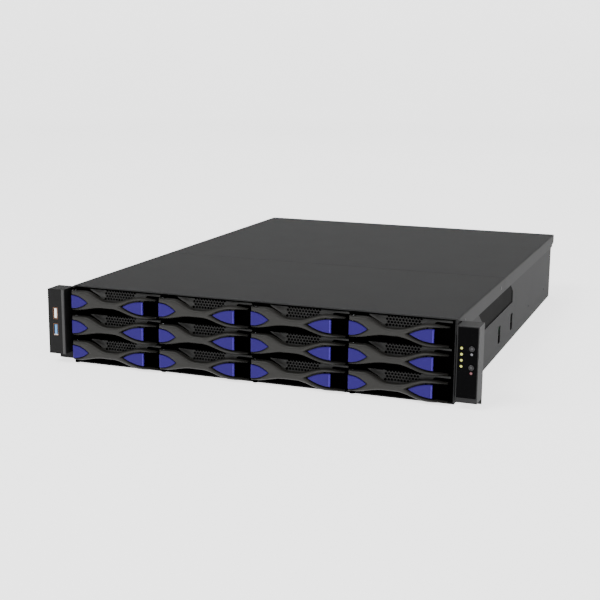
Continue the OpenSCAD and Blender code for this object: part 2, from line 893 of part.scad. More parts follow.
module fasteners() {
    color("#3a3a3c") {
        // the front cover's screws, through its flanges
        for (s = [-1, 1], y = [front_y + 30, seam_y - 22])
            translate([s * half_w, y, body_h - flange_h / 2]) rotate([0, s * 90, 0])
                cylinder(r = cover_screw_r, h = cover_screw_t);
        // the ears' screws, behind the flanges
        for (s = [-1, 1], z = ear_screw_zs)
            translate([s * wall_in, 8, z]) rotate([0, -s * 90, 0])
                cylinder(r = ear_screw_r, h = ear_screw_t);
        // the board's screws
        for (x = [board_x + standoff_inset, board_x + board_w - standoff_inset])
            for (y = [board_y + standoff_inset, board_y + board_d - standoff_inset])
                translate([x, y, board_z + board_t]) cylinder(r = board_screw_r, h = board_screw_t);
    }
}

chassis_tub();
front_cover();
rear_lid();
drive_cage();
backplane();
fan_wall();
for (i = [1 : fan_count]) fan_rotor(i);
motherboard();
rear_panel();
rear_ports();
for (i = [1 : 2]) power_supply(i);
for (i = [1 : 2]) supply_latch(i);
left_ear();
right_ear();
usb_ports();
control_panel();
indicator_lenses();
push_button(button_zs[0]);  // power_button
push_button(button_zs[1]);  // identify_button
fasteners();
for (r = [1 : rows], c = [1 : cols]) {
    tray(r, c);
    lever(r, c);
    release_latch(r, c);
}
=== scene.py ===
"""Rack storage server, two units tall, with twelve hot-swap drive bays.

Sizes are in millimetres in the settings and the shape code, and become metres in the meshes.
The frame gives every place: +X right, the front faces -Y, +Z up.
"""

import math
from types import SimpleNamespace

import bmesh
import bpy
import numpy as np
from mathutils import Matrix, Vector


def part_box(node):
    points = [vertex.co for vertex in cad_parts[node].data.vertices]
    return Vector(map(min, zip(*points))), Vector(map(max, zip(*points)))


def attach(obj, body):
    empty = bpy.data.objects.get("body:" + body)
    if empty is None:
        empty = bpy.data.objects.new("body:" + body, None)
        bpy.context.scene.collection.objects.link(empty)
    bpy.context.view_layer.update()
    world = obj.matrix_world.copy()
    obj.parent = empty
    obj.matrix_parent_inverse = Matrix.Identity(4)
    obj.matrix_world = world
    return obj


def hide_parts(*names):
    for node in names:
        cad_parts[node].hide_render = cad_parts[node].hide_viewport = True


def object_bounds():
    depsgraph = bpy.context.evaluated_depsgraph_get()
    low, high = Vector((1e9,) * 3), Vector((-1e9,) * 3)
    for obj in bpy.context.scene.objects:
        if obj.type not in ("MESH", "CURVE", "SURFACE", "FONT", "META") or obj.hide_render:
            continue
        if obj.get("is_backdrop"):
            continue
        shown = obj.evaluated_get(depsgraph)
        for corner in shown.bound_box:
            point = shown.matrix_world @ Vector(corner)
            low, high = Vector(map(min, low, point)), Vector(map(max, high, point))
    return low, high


bl_info = {
    "name": "Rack Storage Server",
    "version": (1, 0, 0),
    "blender": (4, 5, 0),
    "location": "View3D > Sidebar > Server",
    "description": "Builds the finished surfaces of a twelve-bay rack storage server round its frame",
    "category": "Object",
}

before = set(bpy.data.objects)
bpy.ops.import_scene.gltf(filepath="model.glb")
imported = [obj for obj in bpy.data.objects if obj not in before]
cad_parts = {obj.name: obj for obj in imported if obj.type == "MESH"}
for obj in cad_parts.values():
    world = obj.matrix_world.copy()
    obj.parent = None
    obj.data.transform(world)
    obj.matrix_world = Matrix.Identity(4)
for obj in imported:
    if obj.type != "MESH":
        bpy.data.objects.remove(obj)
CAD_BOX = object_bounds()
MM = 0.001
ROWS, COLS = 3, 4
BEZEL_DEPTH = 12.0
SHEET = 1.2  # thickness of the covers
HEX_ROW = math.sqrt(0.75)  # distance of the rows of a honeycomb, in pitches


def box_mm(node):
    """Lowest and highest corner of a frame node, in millimetres."""
    lo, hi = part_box(node)
    return Vector(lo) / MM, Vector(hi) / MM


# ---------------------------------------------------------------- settings


def length(name, description, mm, low=0.0, high=1000.0):
    """A length setting, given in millimetres here and kept in metres."""
    return bpy.props.FloatProperty(
        name=name, description=description, default=mm * MM, min=low * MM, max=high * MM,
        unit="LENGTH", precision=5,
    )


def angle(name, description, degrees):
    return bpy.props.FloatProperty(
        name=name, description=description, default=math.radians(degrees), subtype="ANGLE"
    )


def in_mm(group):
    """The lengths of a settings group, in millimetres."""
    return SimpleNamespace(**{key: getattr(group, key) / MM for key in type(group).__annotations__})


def colour(name, description, default):
    return bpy.props.FloatVectorProperty(
        name=name, description=description, default=default, subtype="COLOR", size=3, min=0.0, max=1.0
    )


class ServerColours(bpy.types.PropertyGroup):
    # the covers and the case sides share one paint, given as a lighter copy on top and a darker copy on the
    # sides: painted light and shade
    cover: colour("Covers", "Paint of the top covers", (0.0232, 0.0232, 0.0236))
    case: colour("Case", "Paint of the case sides", (0.019, 0.019, 0.0194))
    ear_black: colour("Left ear", "Matte plastic of the left ear", (0.0043, 0.0043, 0.0044))
    ear_grey: colour("Right ear", "Satin plastic of the right ear", (0.0178, 0.0178, 0.0182))
    lever: colour("Levers", "Plastic of the levers", (0.0135, 0.0131, 0.0118))
    bezel: colour("Bezels", "Plastic of the tray bezels' vent panels", (0.030, 0.030, 0.029))
    touch: colour("Touch points", "Blue plastic that the hand takes hold of", (0.016, 0.0078, 0.098))
    steel: colour("Steel", "Bare galvanised sheet", (0.42, 0.43, 0.44))
    board: colour("Boards", "Solder mask of the boards", (0.012, 0.075, 0.035))
    lamp: colour("Lamps", "Light of the status lamps", (0.40, 0.42, 0.09))


class ServerBays(bpy.types.PropertyGroup):
    lever_drop: length("Lever drop", "How far the lever's centre line is below the bay's middle", 2.0)
    lever_round: length("Lever rounding", "Radius of the lever's front edges", 2.6, 0.2, 3.5)
    waist: length("Waist", "Half height of the lever at its waist", 3.9)
    fork_start: length("Fork", "Where the right fork starts, from the bay's middle", 7.5)
    fork_end: length("Fork mouth", "Where the release latch ends, from the bay's middle", 35.0)
    insert_end: length("Insert tip", "Where the blue insert's tip is, left of the middle", 33.5)
    shell: length("Shell", "Wall of the bezel", 1.3, 0.6, 2.0)
    bowl_depth: length("Bowl depth", "Depth of the scoop in front of the drive", 2.8, 1.0, 6.0)
    vent_pitch: length("Vent pitch", "Distance between vent holes", 3.35, 3.0, 6.0)
    vent_hole: length("Vent hole", "Width of a vent hole over its flats", 2.7, 1.0, 4.0)


class ServerSheet(bpy.types.PropertyGroup):
    bend: length("Bend radius", "Outer radius of the bends in the covers", 1.8, 1.3, 4.0)
    edge: length("Edge rounding", "Rounding of cut edges", 0.25, 0.05, 0.5)
    screw_head: length("Screw head", "Diameter of the case screws' heads", 4.8, 2.0, 8.0)
    vent_pitch: length("Rear vent pitch", "Distance between holes in the rear vents", 5.0, 3.0, 8.0)
    vent_hole: length("Rear vent hole", "Width of a rear vent hole", 4.0, 2.0, 6.0)


class ServerStage(bpy.types.PropertyGroup):
    lens: bpy.props.FloatProperty(
        name="Lens", description="Focal length of the camera", default=70.96, subtype="DISTANCE_CAMERA"
    )
    eye: bpy.props.FloatVectorProperty(
        name="Eye", description="Where the camera stands", default=(0.4711, -1.1193, 0.3444),
        subtype="XYZ", unit="LENGTH",
    )
    yaw: angle("Yaw", "How far the camera turns to the left of the rear", 20.73)
    pitch: angle("Pitch", "How far the camera looks down", 11.98)
    roll: angle("Roll", "How far the camera leans", 0.48)
    floor: colour("Floor", "Colour of the floor", (0.86, 0.86, 0.86))
    floor_radius: bpy.props.FloatProperty(
        name="Floor radius", description="Flat part of the floor", default=5.0, unit="LENGTH"
    )


# ---------------------------------------------------------------- finishes


def finish(name, base, rough=0.5, metallic=0.0, grain=0.8, bump=0.02, mottle=0.06, specular=0.5,
           stretch=(1, 1, 1), patch=45.0, glow=0.0):
    """A procedural finish: colour drifts over patches, roughness and bump follow a fine grain (mm)."""
    mat = bpy.data.materials.get(name)
    if mat:
        return mat
    mat = bpy.data.materials.new(name)
    mat.use_nodes = True
    nodes, links = mat.node_tree.nodes, mat.node_tree.links
    shader = nodes["Principled BSDF"]
    place = nodes.new("ShaderNodeTexCoord")
    turn = nodes.new("ShaderNodeMapping")
    turn.inputs["Scale"].default_value = stretch
    links.new(place.outputs["Object"], turn.inputs["Vector"])
    fine, broad = (nodes.new("ShaderNodeTexNoise") for _ in range(2))
    for noise, size, detail in ((fine, grain, 3.0), (broad, patch, 4.0)):
        noise.inputs["Scale"].default_value = 1.0 / (size * MM)
        noise.inputs["Detail"].default_value = detail
        links.new(turn.outputs["Vector"], noise.inputs["Vector"])
    ramp = nodes.new("ShaderNodeValToRGB")
    for stop, side in zip(ramp.color_ramp.elements, (-1, 1)):
        stop.position = 0.5 + 0.18 * side
        stop.color = (*[c * (1 + mottle * side) for c in base], 1.0)
    links.new(broad.outputs["Fac"], ramp.inputs["Fac"])
    links.new(ramp.outputs["Color"], shader.inputs["Base Color"])
    spread = nodes.new("ShaderNodeMapRange")
    spread.inputs["To Min"].default_value = max(0.02, rough - 0.07)
    spread.inputs["To Max"].default_value = min(1.0, rough + 0.07)
    links.new(fine.outputs["Fac"], spread.inputs["Value"])
    links.new(spread.outputs["Result"], shader.inputs["Roughness"])
    if bump:
        relief = nodes.new("ShaderNodeBump")
        relief.inputs["Distance"].default_value = bump * MM
        links.new(fine.outputs["Fac"], relief.inputs["Height"])
        links.new(relief.outputs["Normal"], shader.inputs["Normal"])
    shader.inputs["Metallic"].default_value = metallic
    shader.inputs["Specular IOR Level"].default_value = specular
    if glow:
        links.new(ramp.outputs["Color"], shader.inputs["Emission Color"])
        shader.inputs["Emission Strength"].default_value = glow
    return mat


def finishes():
    """Every finish of the server by name: colour, roughness, metallic, and what differs from the usual."""
    c = bpy.context.scene.server_colours
    return {
        # the covers and the case sides share one paint, given as a lighter copy on top and a darker copy on
        # the sides: painted light and shade
        "cover paint": (c.cover, 0.7, 0.0, dict(grain=0.5, bump=0.015, mottle=0.04, specular=0.08)),
        "case shaded paint": (c.case, 0.7, 0.0, dict(grain=0.5, bump=0.015, mottle=0.04, specular=0.06)),
        # a dark sheet behind the side windows: painted shade of the window recesses
        "liner paint": ((0.018, 0.018, 0.018), 0.9, 0.0, dict(grain=0.5, specular=0.0)),
        "ear black": (c.ear_black, 0.62, 0.0, dict(grain=0.35, bump=0.02, specular=0.12)),
        # a lighter copy of the ear's black for its rounded inner edge: painted highlight
        "ear edge highlight": ([1.3 * v for v in c.ear_black], 0.4, 0.0, dict(grain=0.35, bump=0.01, specular=0.5)),
        "ear grey": (c.ear_grey, 0.55, 0.0, dict(grain=0.4, bump=0.01, specular=0.06)),
        "panel black": ((0.0011, 0.0011, 0.0013), 0.5, 0.0, dict(grain=0.6, bump=0.004, specular=0.02)),
        "lever plastic": (c.lever, 0.45, 0.0, dict(grain=0.3, bump=0.012, specular=0.18)),
        "bezel plastic": (c.bezel, 0.5, 0.0, dict(grain=0.3, bump=0.012, specular=0.2)),
        # near black for the bezels' recesses, finger pockets, lugs and latch stems and behind the supply
        # grilles: painted shade
        "pocket black": ((0.0008, 0.0008, 0.0008), 0.8, 0.0, dict(grain=0.3, bump=0.01, specular=0.0)),
        "touch blue": (c.touch, 0.45, 0.0, dict(grain=0.3, bump=0.006, mottle=0.05, specular=0.08)),
        # a lighter copy of the blue for the latch's lip: painted highlight
        "touch ridge": ([2.2 * v for v in c.touch], 0.4, 0.0, dict(grain=0.3, bump=0.006, specular=0.2)),
        "button rim": ((0.035, 0.035, 0.037), 0.35, 0.5, dict(grain=0.3, bump=0.004, specular=0.3)),
        "zinc steel": (c.steel, 0.42, 1.0, dict(grain=6.0, bump=0.004, mottle=0.16, patch=9.0)),
        "bright steel": ((0.6, 0.6, 0.62), 0.25, 1.0, dict(grain=0.4, bump=0.003, stretch=(1, 14, 1))),
        "black screw": ((0.014, 0.014, 0.015), 0.5, 0.3, dict(grain=0.3, bump=0.005, specular=0.2)),
        "drive metal": ((0.47, 0.48, 0.49), 0.36, 1.0, dict(grain=0.5, bump=0.006, stretch=(6, 1, 1))),
        "fin metal": ((0.62, 0.63, 0.65), 0.32, 1.0, dict(grain=0.5, bump=0.004, stretch=(1, 9, 1))),
        "board mask": (c.board, 0.38, 0.0, dict(grain=1.4, bump=0.012, mottle=0.35, patch=4.0)),
        "chip black": ((0.012, 0.012, 0.013), 0.45, 0.0, dict(grain=0.4, bump=0.01)),
        "fan black": ((0.010, 0.010, 0.011), 0.5, 0.0, dict(grain=0.5, bump=0.01)),
        "socket black": ((0.014, 0.014, 0.015), 0.55, 0.0, dict(grain=0.4, bump=0.008)),
        "port blue": ((0.02, 0.09, 0.42), 0.4, 0.0, dict(grain=0.4, bump=0.006)),
        "usb blue": ((0.04, 0.21, 0.46), 0.35, 0.0, dict(grain=0.4, bump=0.004)),
        "usb white": ((0.80, 0.79, 0.76), 0.4, 0.0, dict(grain=0.4, bump=0.004, mottle=0.03)),
        "port metal": ((0.60, 0.55, 0.50), 0.3, 1.0, dict(grain=0.6, bump=0.003)),
        "port copper": ((0.20, 0.105, 0.07), 0.35, 1.0, dict(grain=0.5, bump=0.004)),
        "gold": ((0.85, 0.58, 0.22), 0.28, 1.0, dict(grain=0.4, bump=0.003)),
        "latch green": ((0.015, 0.16, 0.075), 0.45, 0.0, dict(grain=0.4, bump=0.01)),
        "button black": ((0.014, 0.013, 0.0135), 0.45, 0.0, dict(grain=0.3, bump=0.006, specular=0.12)),
        "lamp green": (c.lamp, 0.25, 0.0, dict(grain=0.5, bump=0.0, mottle=0.12, patch=1.0, glow=0.3)),
        "lamp white": ((0.10, 0.10, 0.11), 0.3, 0.0,
            dict(grain=0.5, bump=0.0, mottle=0.1, patch=1.0, glow=0.1)),
        "lamp pink": ((0.13, 0.04, 0.045), 0.3, 0.0,
            dict(grain=0.5, bump=0.0, mottle=0.1, patch=1.0, glow=0.1)),
    }


def named(name):
    """The material of a finish, made the first time that it is asked for."""
    base, rough, metallic, rest = finishes()[name]
    return finish(name, base, rough, metallic, **rest)


# ---------------------------------------------------------------- shapes


class Shape:
    """Closed solids gathered into one mesh, each with its own finish. Sizes are in millimetres."""

    def __init__(self):
        self.bm = bmesh.new()
        self.names = []

    def index(self, finish_name):
        if finish_name not in self.names:
            self.names.append(finish_name)
        return self.names.index(finish_name)

    def solid(self, points, faces, finish_name, bevel=0.0, segments=2, sharp=35.0):
        """Adds one closed solid and rounds its sharp edges."""
        verts = [self.bm.verts.new(Vector(p) * MM) for p in points]
        made = [self.bm.faces.new([verts[i] for i in face]) for face in faces]
        index = self.index(finish_name)
        for face in made:
            face.material_index = index
        bmesh.ops.recalc_face_normals(self.bm, faces=made)
        if bevel:
            rounded(self.bm, [e for f in made for e in f.edges], bevel, sharp, segments)

    def block(self, lo, hi, finish_name, bevel=0.0, segments=2):
        xs, ys, zs = zip(lo, hi)
        points = [(x, y, z) for x in xs for y in ys for z in zs]
        faces = [(0, 1, 3, 2), (4, 6, 7, 5), (0, 4, 5, 1), (2, 3, 7, 6), (0, 2, 6, 4), (1, 5, 7, 3)]
        self.solid(points, faces, finish_name, bevel, segments)

    def prism(self, outline, axis, a, b, finish_name, bevel=0.0, segments=2):
        """An outline made thick along an axis: its two numbers are the other two axes, in order."""
        n = len(outline)
        points = [insert_at(p, axis, end) for end in (a, b) for p in outline]
        faces = [tuple(range(n)), tuple(range(2 * n - 1, n - 1, -1))]
        faces += [(i, i + n, (i + 1) % n + n, (i + 1) % n) for i in range(n)]
        self.solid(points, faces, finish_name, bevel, segments)

    def rod(self, centre, axis, radius, a, b, finish_name, bevel=0.0, sides=32, segments=2):
        """A cylinder along an axis; centre is its place on the other two axes."""
        self.prism(circle(centre, radius, sides), axis, a, b, finish_name, bevel, segments)

    def sweep(self, sections, finish_name, bevel=0.0):
        """Joins a row of like outlines, each a list of points, and closes both ends."""
        n = len(sections[0])
        points = [p for section in sections for p in section]
        faces = [tuple(range(n)), tuple(range(len(points) - 1, len(points) - 1 - n, -1))]
        for k in range(len(sections) - 1):
            a, b = k * n, (k + 1) * n
            faces += [(a + i, b + i, b + (i + 1) % n, a + (i + 1) % n) for i in range(n)]
        self.solid(points, faces, finish_name, bevel)

    def absorb(self, mesh, finish_name):
        """Takes over a finished mesh."""
        before = set(self.bm.faces)
        self.bm.from_mesh(mesh)
        index = self.index(finish_name)
        for face in self.bm.faces:
            if face not in before:
                face.material_index = index

    def turned(self, centre, profile, finish_name, sides=32):
        """A form turned about an axis along Y, from its profile of (radius, y) pairs."""
        self.sweep([[(x, y, z) for x, z in circle(centre, r, sides)] for r, y in profile], finish_name)

    def row(self, start, step, count, size, finish_name):
        """Adds a row of blocks: start is the first block's middle."""
        self.absorb(grown("row", bpy.data.meshes.new("row"), finish_name, Start=vec(*start), Step=vec(*step),
                          Count=count, Size=vec(*size)), finish_name)

    def screws(self, points, facing, head, height, finish_name):
        """Adds a screw's head on each point."""
        places = bpy.data.meshes.new("screw places")
        places.from_pydata([vec(*p) for p in points], [], [])
        self.absorb(grown("screws", places, finish_name, Facing=facing, Head=head * MM, Height=height * MM),
                    finish_name)

    def mesh(self, name, offset=(0, 0, 0)):
        mesh = bpy.data.meshes.new(name)
        self.bm.to_mesh(mesh)
        mesh.transform(Matrix.Translation(Vector(offset) * MM))
        for finish_name in self.names:
            mesh.materials.append(named(finish_name))
        return mesh

    def settle(self, name, body, replaces=(), slot=None, sharp=32.0, offset=(0, 0, 0)):
        """Makes an object of the solids and ties it to its body."""
        settle(name, self.mesh(name, offset), body, replaces, sharp)


def rounded(bm, edges, radius, sharp, segments=2, material=-1):
    """Rounds those of the edges whose faces meet at more than an angle, in the order given."""
    limit = math.radians(sharp)
    edges = [e for e in dict.fromkeys(edges) if e.calc_face_angle(0.0) > limit]
    bmesh.ops.bevel(bm, geom=edges, offset=radius * MM, segments=segments, profile=0.5, affect="EDGES",
                    clamp_overlap=True, material=material)


def insert_at(pair, axis, value):
    """Three numbers from two, with value put in at the axis."""
    full = list(pair)
    full.insert(axis, value)
    return tuple(full)


def circle(centre, radius, sides, start=0.0):
    turns = [start + 2 * math.pi * i / sides for i in range(sides)]
    return [(centre[0] + radius * math.cos(t), centre[1] + radius * math.sin(t)) for t in turns]


def settle(name, mesh, body, replaces=(), sharp=32.0):
    """Makes an object of a mesh, shades it with its wide faces kept flat, and ties it to its body."""
    mesh.polygons.foreach_set("use_smooth", [True] * len(mesh.polygons))
    mesh.set_sharp_from_angle(angle=math.radians(sharp))
    piece = bpy.data.objects.new(name, mesh)
    bpy.context.scene.collection.objects.link(piece)
    even = piece.modifiers.new("even", "WEIGHTED_NORMAL")
    even.keep_sharp = True
    shaded = bpy.data.meshes.new_from_object(piece.evaluated_get(bpy.context.evaluated_depsgraph_get()))
    piece.modifiers.remove(even)
    piece.data = shaded
    bpy.data.meshes.remove(mesh)
    shaded.name = name
    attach(piece, body)
    if replaces:
        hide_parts(*replaces)


def softened(node, pick, edge=None, sharp=40.0):
    """A copy of a node's mesh with merged doubles, joined flats and rounded edges. pick is a finish,
    or gives one for each of the node's loose solids from its lowest and highest corner in millimetres."""
    edge = in_mm(bpy.context.scene.server_sheet).edge if edge is None else edge
    shape = Shape()
    bm = shape.bm
    bm.from_mesh(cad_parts[node].data)
    bmesh.ops.remove_doubles(bm, verts=bm.verts, dist=1e-6)
    bmesh.ops.dissolve_limit(bm, angle_limit=math.radians(0.5), verts=bm.verts, edges=bm.edges)
    for island in islands(bm):
        corners = np.array([v.co for f in island for v in f.verts]) / MM
        index = shape.index(pick if isinstance(pick, str) else pick(corners.min(0), corners.max(0)))
        for face in island:
            face.material_index = index
    if edge:
        rounded(bm, bm.edges, edge, sharp)
    return shape


def islands(bm):
    """The faces of a mesh in connected groups."""
    left = dict.fromkeys(bm.faces)
    while left:
        start, _ = left.popitem()
        group, border = [start], [start]
        while border:
            for edge in border.pop().edges:
                for face in edge.link_faces:
                    if face in left:
                        del left[face]
                        group.append(face)
                        border.append(face)
        yield group


# ---------------------------------------------------------------- node trees


class Tree:
    """A geometry node tree built from named inputs."""

    SOCKETS = {"float": "NodeSocketFloat", "int": "NodeSocketInt", "vector": "NodeSocketVector",
               "finish": "NodeSocketMaterial"}

    def __init__(self, name, inputs):
        self.group = bpy.data.node_groups.new(name, "GeometryNodeTree")
        face = self.group.interface
        face.new_socket("Geometry", in_out="INPUT", socket_type="NodeSocketGeometry")
        for label, kind in inputs.items():
            face.new_socket(label, in_out="INPUT", socket_type=self.SOCKETS[kind])
        face.new_socket("Geometry", in_out="OUTPUT", socket_type="NodeSocketGeometry")
        self.enter = self.group.nodes.new("NodeGroupInput").outputs
        self.leave = self.group.nodes.new("NodeGroupOutput").inputs

    def node(self, kind, *args, settings=None, **inputs):
        """Adds a node; args fill its inputs in order and named inputs fill theirs. Gives its outputs."""
        made = self.group.nodes.new(kind)
        for key, value in (settings or {}).items():
            setattr(made, key, value)
        pairs = list(zip(made.inputs, args))
        pairs += [(made.inputs[key.replace("_", " ")], value) for key, value in inputs.items()]
        for socket, value in pairs:
            if isinstance(value, bpy.types.NodeSocket):
                self.group.links.new(value, socket)
            elif value is not None:
                socket.default_value = value
        return made.outputs

    def sum(self, operation, a, b):
        return self.node("ShaderNodeMath", a, b, settings={"operation": operation})[0]

    def finish(self, geometry):
        """Ends the tree in Realize Instances and Set Material."""
        real = self.node("GeometryNodeRealizeInstances", geometry)[0]
        painted = self.node("GeometryNodeSetMaterial", real, Material=self.enter["Finish"])[0]
        self.group.links.new(painted, self.leave[0])
        return self.group


def honeycomb_tree():
    """Cuts a field of six-sided holes, staggered row by row, through a panel along Y."""
    tree = Tree("Honeycomb", {"Centre": "vector", "Pitch": "float", "Hole": "float", "Columns": "int",
                              "Rows": "int", "Depth": "float", "Finish": "finish"})
    g = tree.enter
    row_step = tree.sum("MULTIPLY", g["Pitch"], HEX_ROW)
    wide = tree.sum("MULTIPLY", g["Pitch"], tree.sum("SUBTRACT", g["Columns"], 1.0))
    high = tree.sum("MULTIPLY", row_step, tree.sum("SUBTRACT", g["Rows"], 1.0))
    grid = tree.node("GeometryNodeMeshGrid", wide, high, g["Columns"], g["Rows"])[0]
    row = tree.sum("MODULO", tree.node("GeometryNodeInputIndex")[0], g["Rows"])
    odd = tree.sum("SUBTRACT", tree.sum("MODULO", row, 2.0), 0.5)
    half_pitch = tree.sum("MULTIPLY", g["Pitch"], 0.5)
    shift = tree.node("ShaderNodeCombineXYZ", tree.sum("MULTIPLY", odd, half_pitch))[0]
    field = tree.node("GeometryNodeSetPosition", grid, Offset=shift)[0]
    upright = (math.pi / 2, 0.0, 0.0)
    field = tree.node("GeometryNodeTransform", field, Translation=g["Centre"], Rotation=upright)[0]
    radius = tree.sum("DIVIDE", g["Hole"], math.sqrt(3.0))
    hole = tree.node("GeometryNodeMeshCylinder", Vertices=6, Radius=radius, Depth=g["Depth"])[0]
    hole = tree.node("GeometryNodeTransform", hole, Rotation=upright)[0]
    holes = tree.node("GeometryNodeInstanceOnPoints", Points=field, Instance=hole)[0]
    holes = tree.node("GeometryNodeRealizeInstances", holes)[0]
    cut = tree.node("GeometryNodeMeshBoolean", g["Geometry"], holes,
                    settings={"operation": "DIFFERENCE", "solver": "EXACT"})[0]
    return tree.finish(cut)


def screw_tree():
    """Puts a pan-head screw with a cross recess on every point, facing one way."""
    tree = Tree("Screws", {"Facing": "vector", "Head": "float", "Height": "float", "Finish": "finish"})
    g = tree.enter
    radius = tree.sum("MULTIPLY", g["Head"], 0.5)
    head = tree.node("GeometryNodeMeshCone", Vertices=20, Radius_Top=tree.sum("MULTIPLY", radius, 0.78),
                     Radius_Bottom=radius, Depth=g["Height"])[0]
    long = tree.sum("MULTIPLY", radius, 1.1)
    thin = tree.sum("MULTIPLY", radius, 0.26)
    up = tree.node("ShaderNodeCombineXYZ", 0.0, 0.0, g["Height"])[0]
    bars = [tree.node("GeometryNodeMeshCube", tree.node("ShaderNodeCombineXYZ", *size, g["Height"])[0])[0]
            for size in ((long, thin), (thin, long))]
    cross = tree.node("GeometryNodeMeshBoolean", None, bars[0], settings={"operation": "UNION"})
    joiner = cross[0].node
    tree.group.links.new(bars[1], joiner.inputs[1])
    cross = tree.node("GeometryNodeTransform", cross[0], Translation=up)[0]
    head = tree.node("GeometryNodeMeshBoolean", head, cross,
                     settings={"operation": "DIFFERENCE", "solver": "EXACT"})[0]
    turn = tree.node("FunctionNodeAlignRotationToVector", Vector=g["Facing"], settings={"axis": "Z"})[0]
    placed = tree.node("GeometryNodeInstanceOnPoints", Points=g["Geometry"], Instance=head, Rotation=turn)[0]
    return tree.finish(placed)


def row_tree():
    """A straight row of like blocks, such as fins, slats, contacts or chips."""
    tree = Tree("Row of blocks", {"Start": "vector", "Step": "vector", "Count": "int", "Size": "vector",
                                  "Finish": "finish"})
    g = tree.enter
    line = tree.node("GeometryNodeMeshLine", settings={"mode": "OFFSET"}, Count=g["Count"],
                     Start_Location=g["Start"], Offset=g["Step"])[0]
    block = tree.node("GeometryNodeMeshCube", g["Size"])[0]
    return tree.finish(tree.node("GeometryNodeInstanceOnPoints", Points=line, Instance=block)[0])


def wheel_tree():
    """Repeats a blade round an axis along Y."""
    tree = Tree("Blade wheel", {"Centre": "vector", "Count": "int", "Finish": "finish"})
    g = tree.enter
    hub = tree.node("GeometryNodeMeshLine", settings={"mode": "OFFSET"}, Count=g["Count"],
                    Start_Location=g["Centre"], Offset=(0.0, 0.0, 0.0))[0]
    step = tree.sum("DIVIDE", 2 * math.pi, g["Count"])
    angle = tree.sum("MULTIPLY", tree.node("GeometryNodeInputIndex")[0], step)
    turn = tree.node("ShaderNodeCombineXYZ", 0.0, angle, 0.0)[0]
    placed = tree.node("GeometryNodeInstanceOnPoints", Points=hub, Instance=g["Geometry"], Rotation=turn)[0]
    return tree.finish(placed)


TREES = {"honeycomb": honeycomb_tree, "screws": screw_tree, "row": row_tree, "wheel": wheel_tree}


def grown(kind, base, finish_name, **inputs):
    """Runs a node tree on a mesh and gives the result as a plain mesh."""
    tree = bpy.data.node_groups.get("grown " + kind)
    if tree is None:
        tree = TREES[kind]()
        tree.name = "grown " + kind
    carrier = bpy.data.objects.new("carrier", base)
    bpy.context.scene.collection.objects.link(carrier)
    modifier = carrier.modifiers.new(kind, "NODES")
    modifier.node_group = tree
    inputs["Finish"] = named(finish_name)
    for item in tree.interface.items_tree:
        if item.in_out == "INPUT" and item.name in inputs:
            modifier[item.identifier] = inputs[item.name]
    plain = bpy.data.meshes.new_from_object(carrier.evaluated_get(bpy.context.evaluated_depsgraph_get()))
    carrier.modifiers.remove(modifier)
    bpy.data.objects.remove(carrier)
    if not plain.polygons:
        raise RuntimeError(f"the {kind} tree gave nothing")
    return plain


def vec(*mm):
    return tuple(v * MM for v in mm)


def pierced(mesh, centre, columns, rows, pitch, hole, depth, finish_name):
    return grown("honeycomb", mesh, finish_name, Centre=vec(*centre), Pitch=pitch * MM, Hole=hole * MM,
                 Columns=columns, Rows=rows, Depth=depth * MM)


# ---------------------------------------------------------------- bay outlines


def smooth(t):
    t = min(1.0, max(0.0, t))
    return t * t * (3 - 2 * t)


class Bay:
    """The sizes that the bays share, in a bay's own frame: x from its middle, z from the lever's line."""

    def __init__(self):
        s = in_mm(bpy.context.scene.server_bays)
        tray_lo, tray_hi = box_mm("tray_1_1")
        lever_lo, lever_hi = box_mm("lever_1_1")
        middle = (tray_lo + tray_hi) / 2
        self.half_w = (tray_hi.x - tray_lo.x) / 2
        self.half_h = (tray_hi.z - tray_lo.z) / 2
        self.drop = s.lever_drop
        self.front = box_mm("front_cover")[0].y
        self.back = self.front + BEZEL_DEPTH
        self.lever_front, self.lever_back = lever_lo.y, lever_hi.y
        self.left = lever_lo.x - middle.x
        self.tip = lever_hi.x - middle.x
        self.pin_x = self.left + 3.5
        self.pin_y = self.lever_front + 5.5
        self.waist = s.waist
        self.flare = self.half_h - 2.6
        self.left_rise = self.half_h - 0.6
        self.left_drop = 8.4
        self.fork, self.mouth = s.fork_start, s.fork_end
        self.latch_apex = self.fork + 2.6
        self.apex = -s.insert_end
        self.axis = 0.8

    def upper(self, x):
        if x > -6:
            return self.waist + (self.flare - self.waist) * smooth((x + 3) / 33) - 1.3 * smooth((x - 34) / 18)
        return self.waist + (self.left_rise - self.waist) * smooth((-10 - x) / 27)

    def lower(self, x):
        if x > -6:
            return -self.upper(x)
        return -self.waist - (self.left_drop - self.waist) * smooth((-16 - x) / 32)

    def midline(self, x):
        return self.axis * smooth(-x / 33)

    def fork_half(self, x):
        t = min(1.0, max(0.0, (x - self.fork) / (self.mouth - self.fork)))
        return 8.5 * (1 - (1 - t) ** 2) + 0.06 * max(0.0, x - self.mouth)

    def latch_half(self, x):
        t = min(1.0, max(0.0, (x - self.latch_apex) / (self.mouth - self.latch_apex)))
        return 7.0 * (1 - (1 - t) ** 2)

    def insert_half(self, x, grow=0.0):
        t = min(1.0, max(0.0, (self.apex - x) / (self.apex - self.left)))
        return (7.2 + grow) * (1 - (1 - t) ** 2.2)


def spread(a, b, count):
    return [a + (b - a) * i / (count - 1) for i in range(count)]


def patch(xs, low, high, rows):
    """A grid of (x, z) points between two edges, closer together near both."""
    shares = [0.5 - 0.5 * math.cos(math.pi * j / rows) for j in range(rows + 1)]
    return [[(x, low(x) + (high(x) - low(x)) * t) for t in shares] for x in xs]


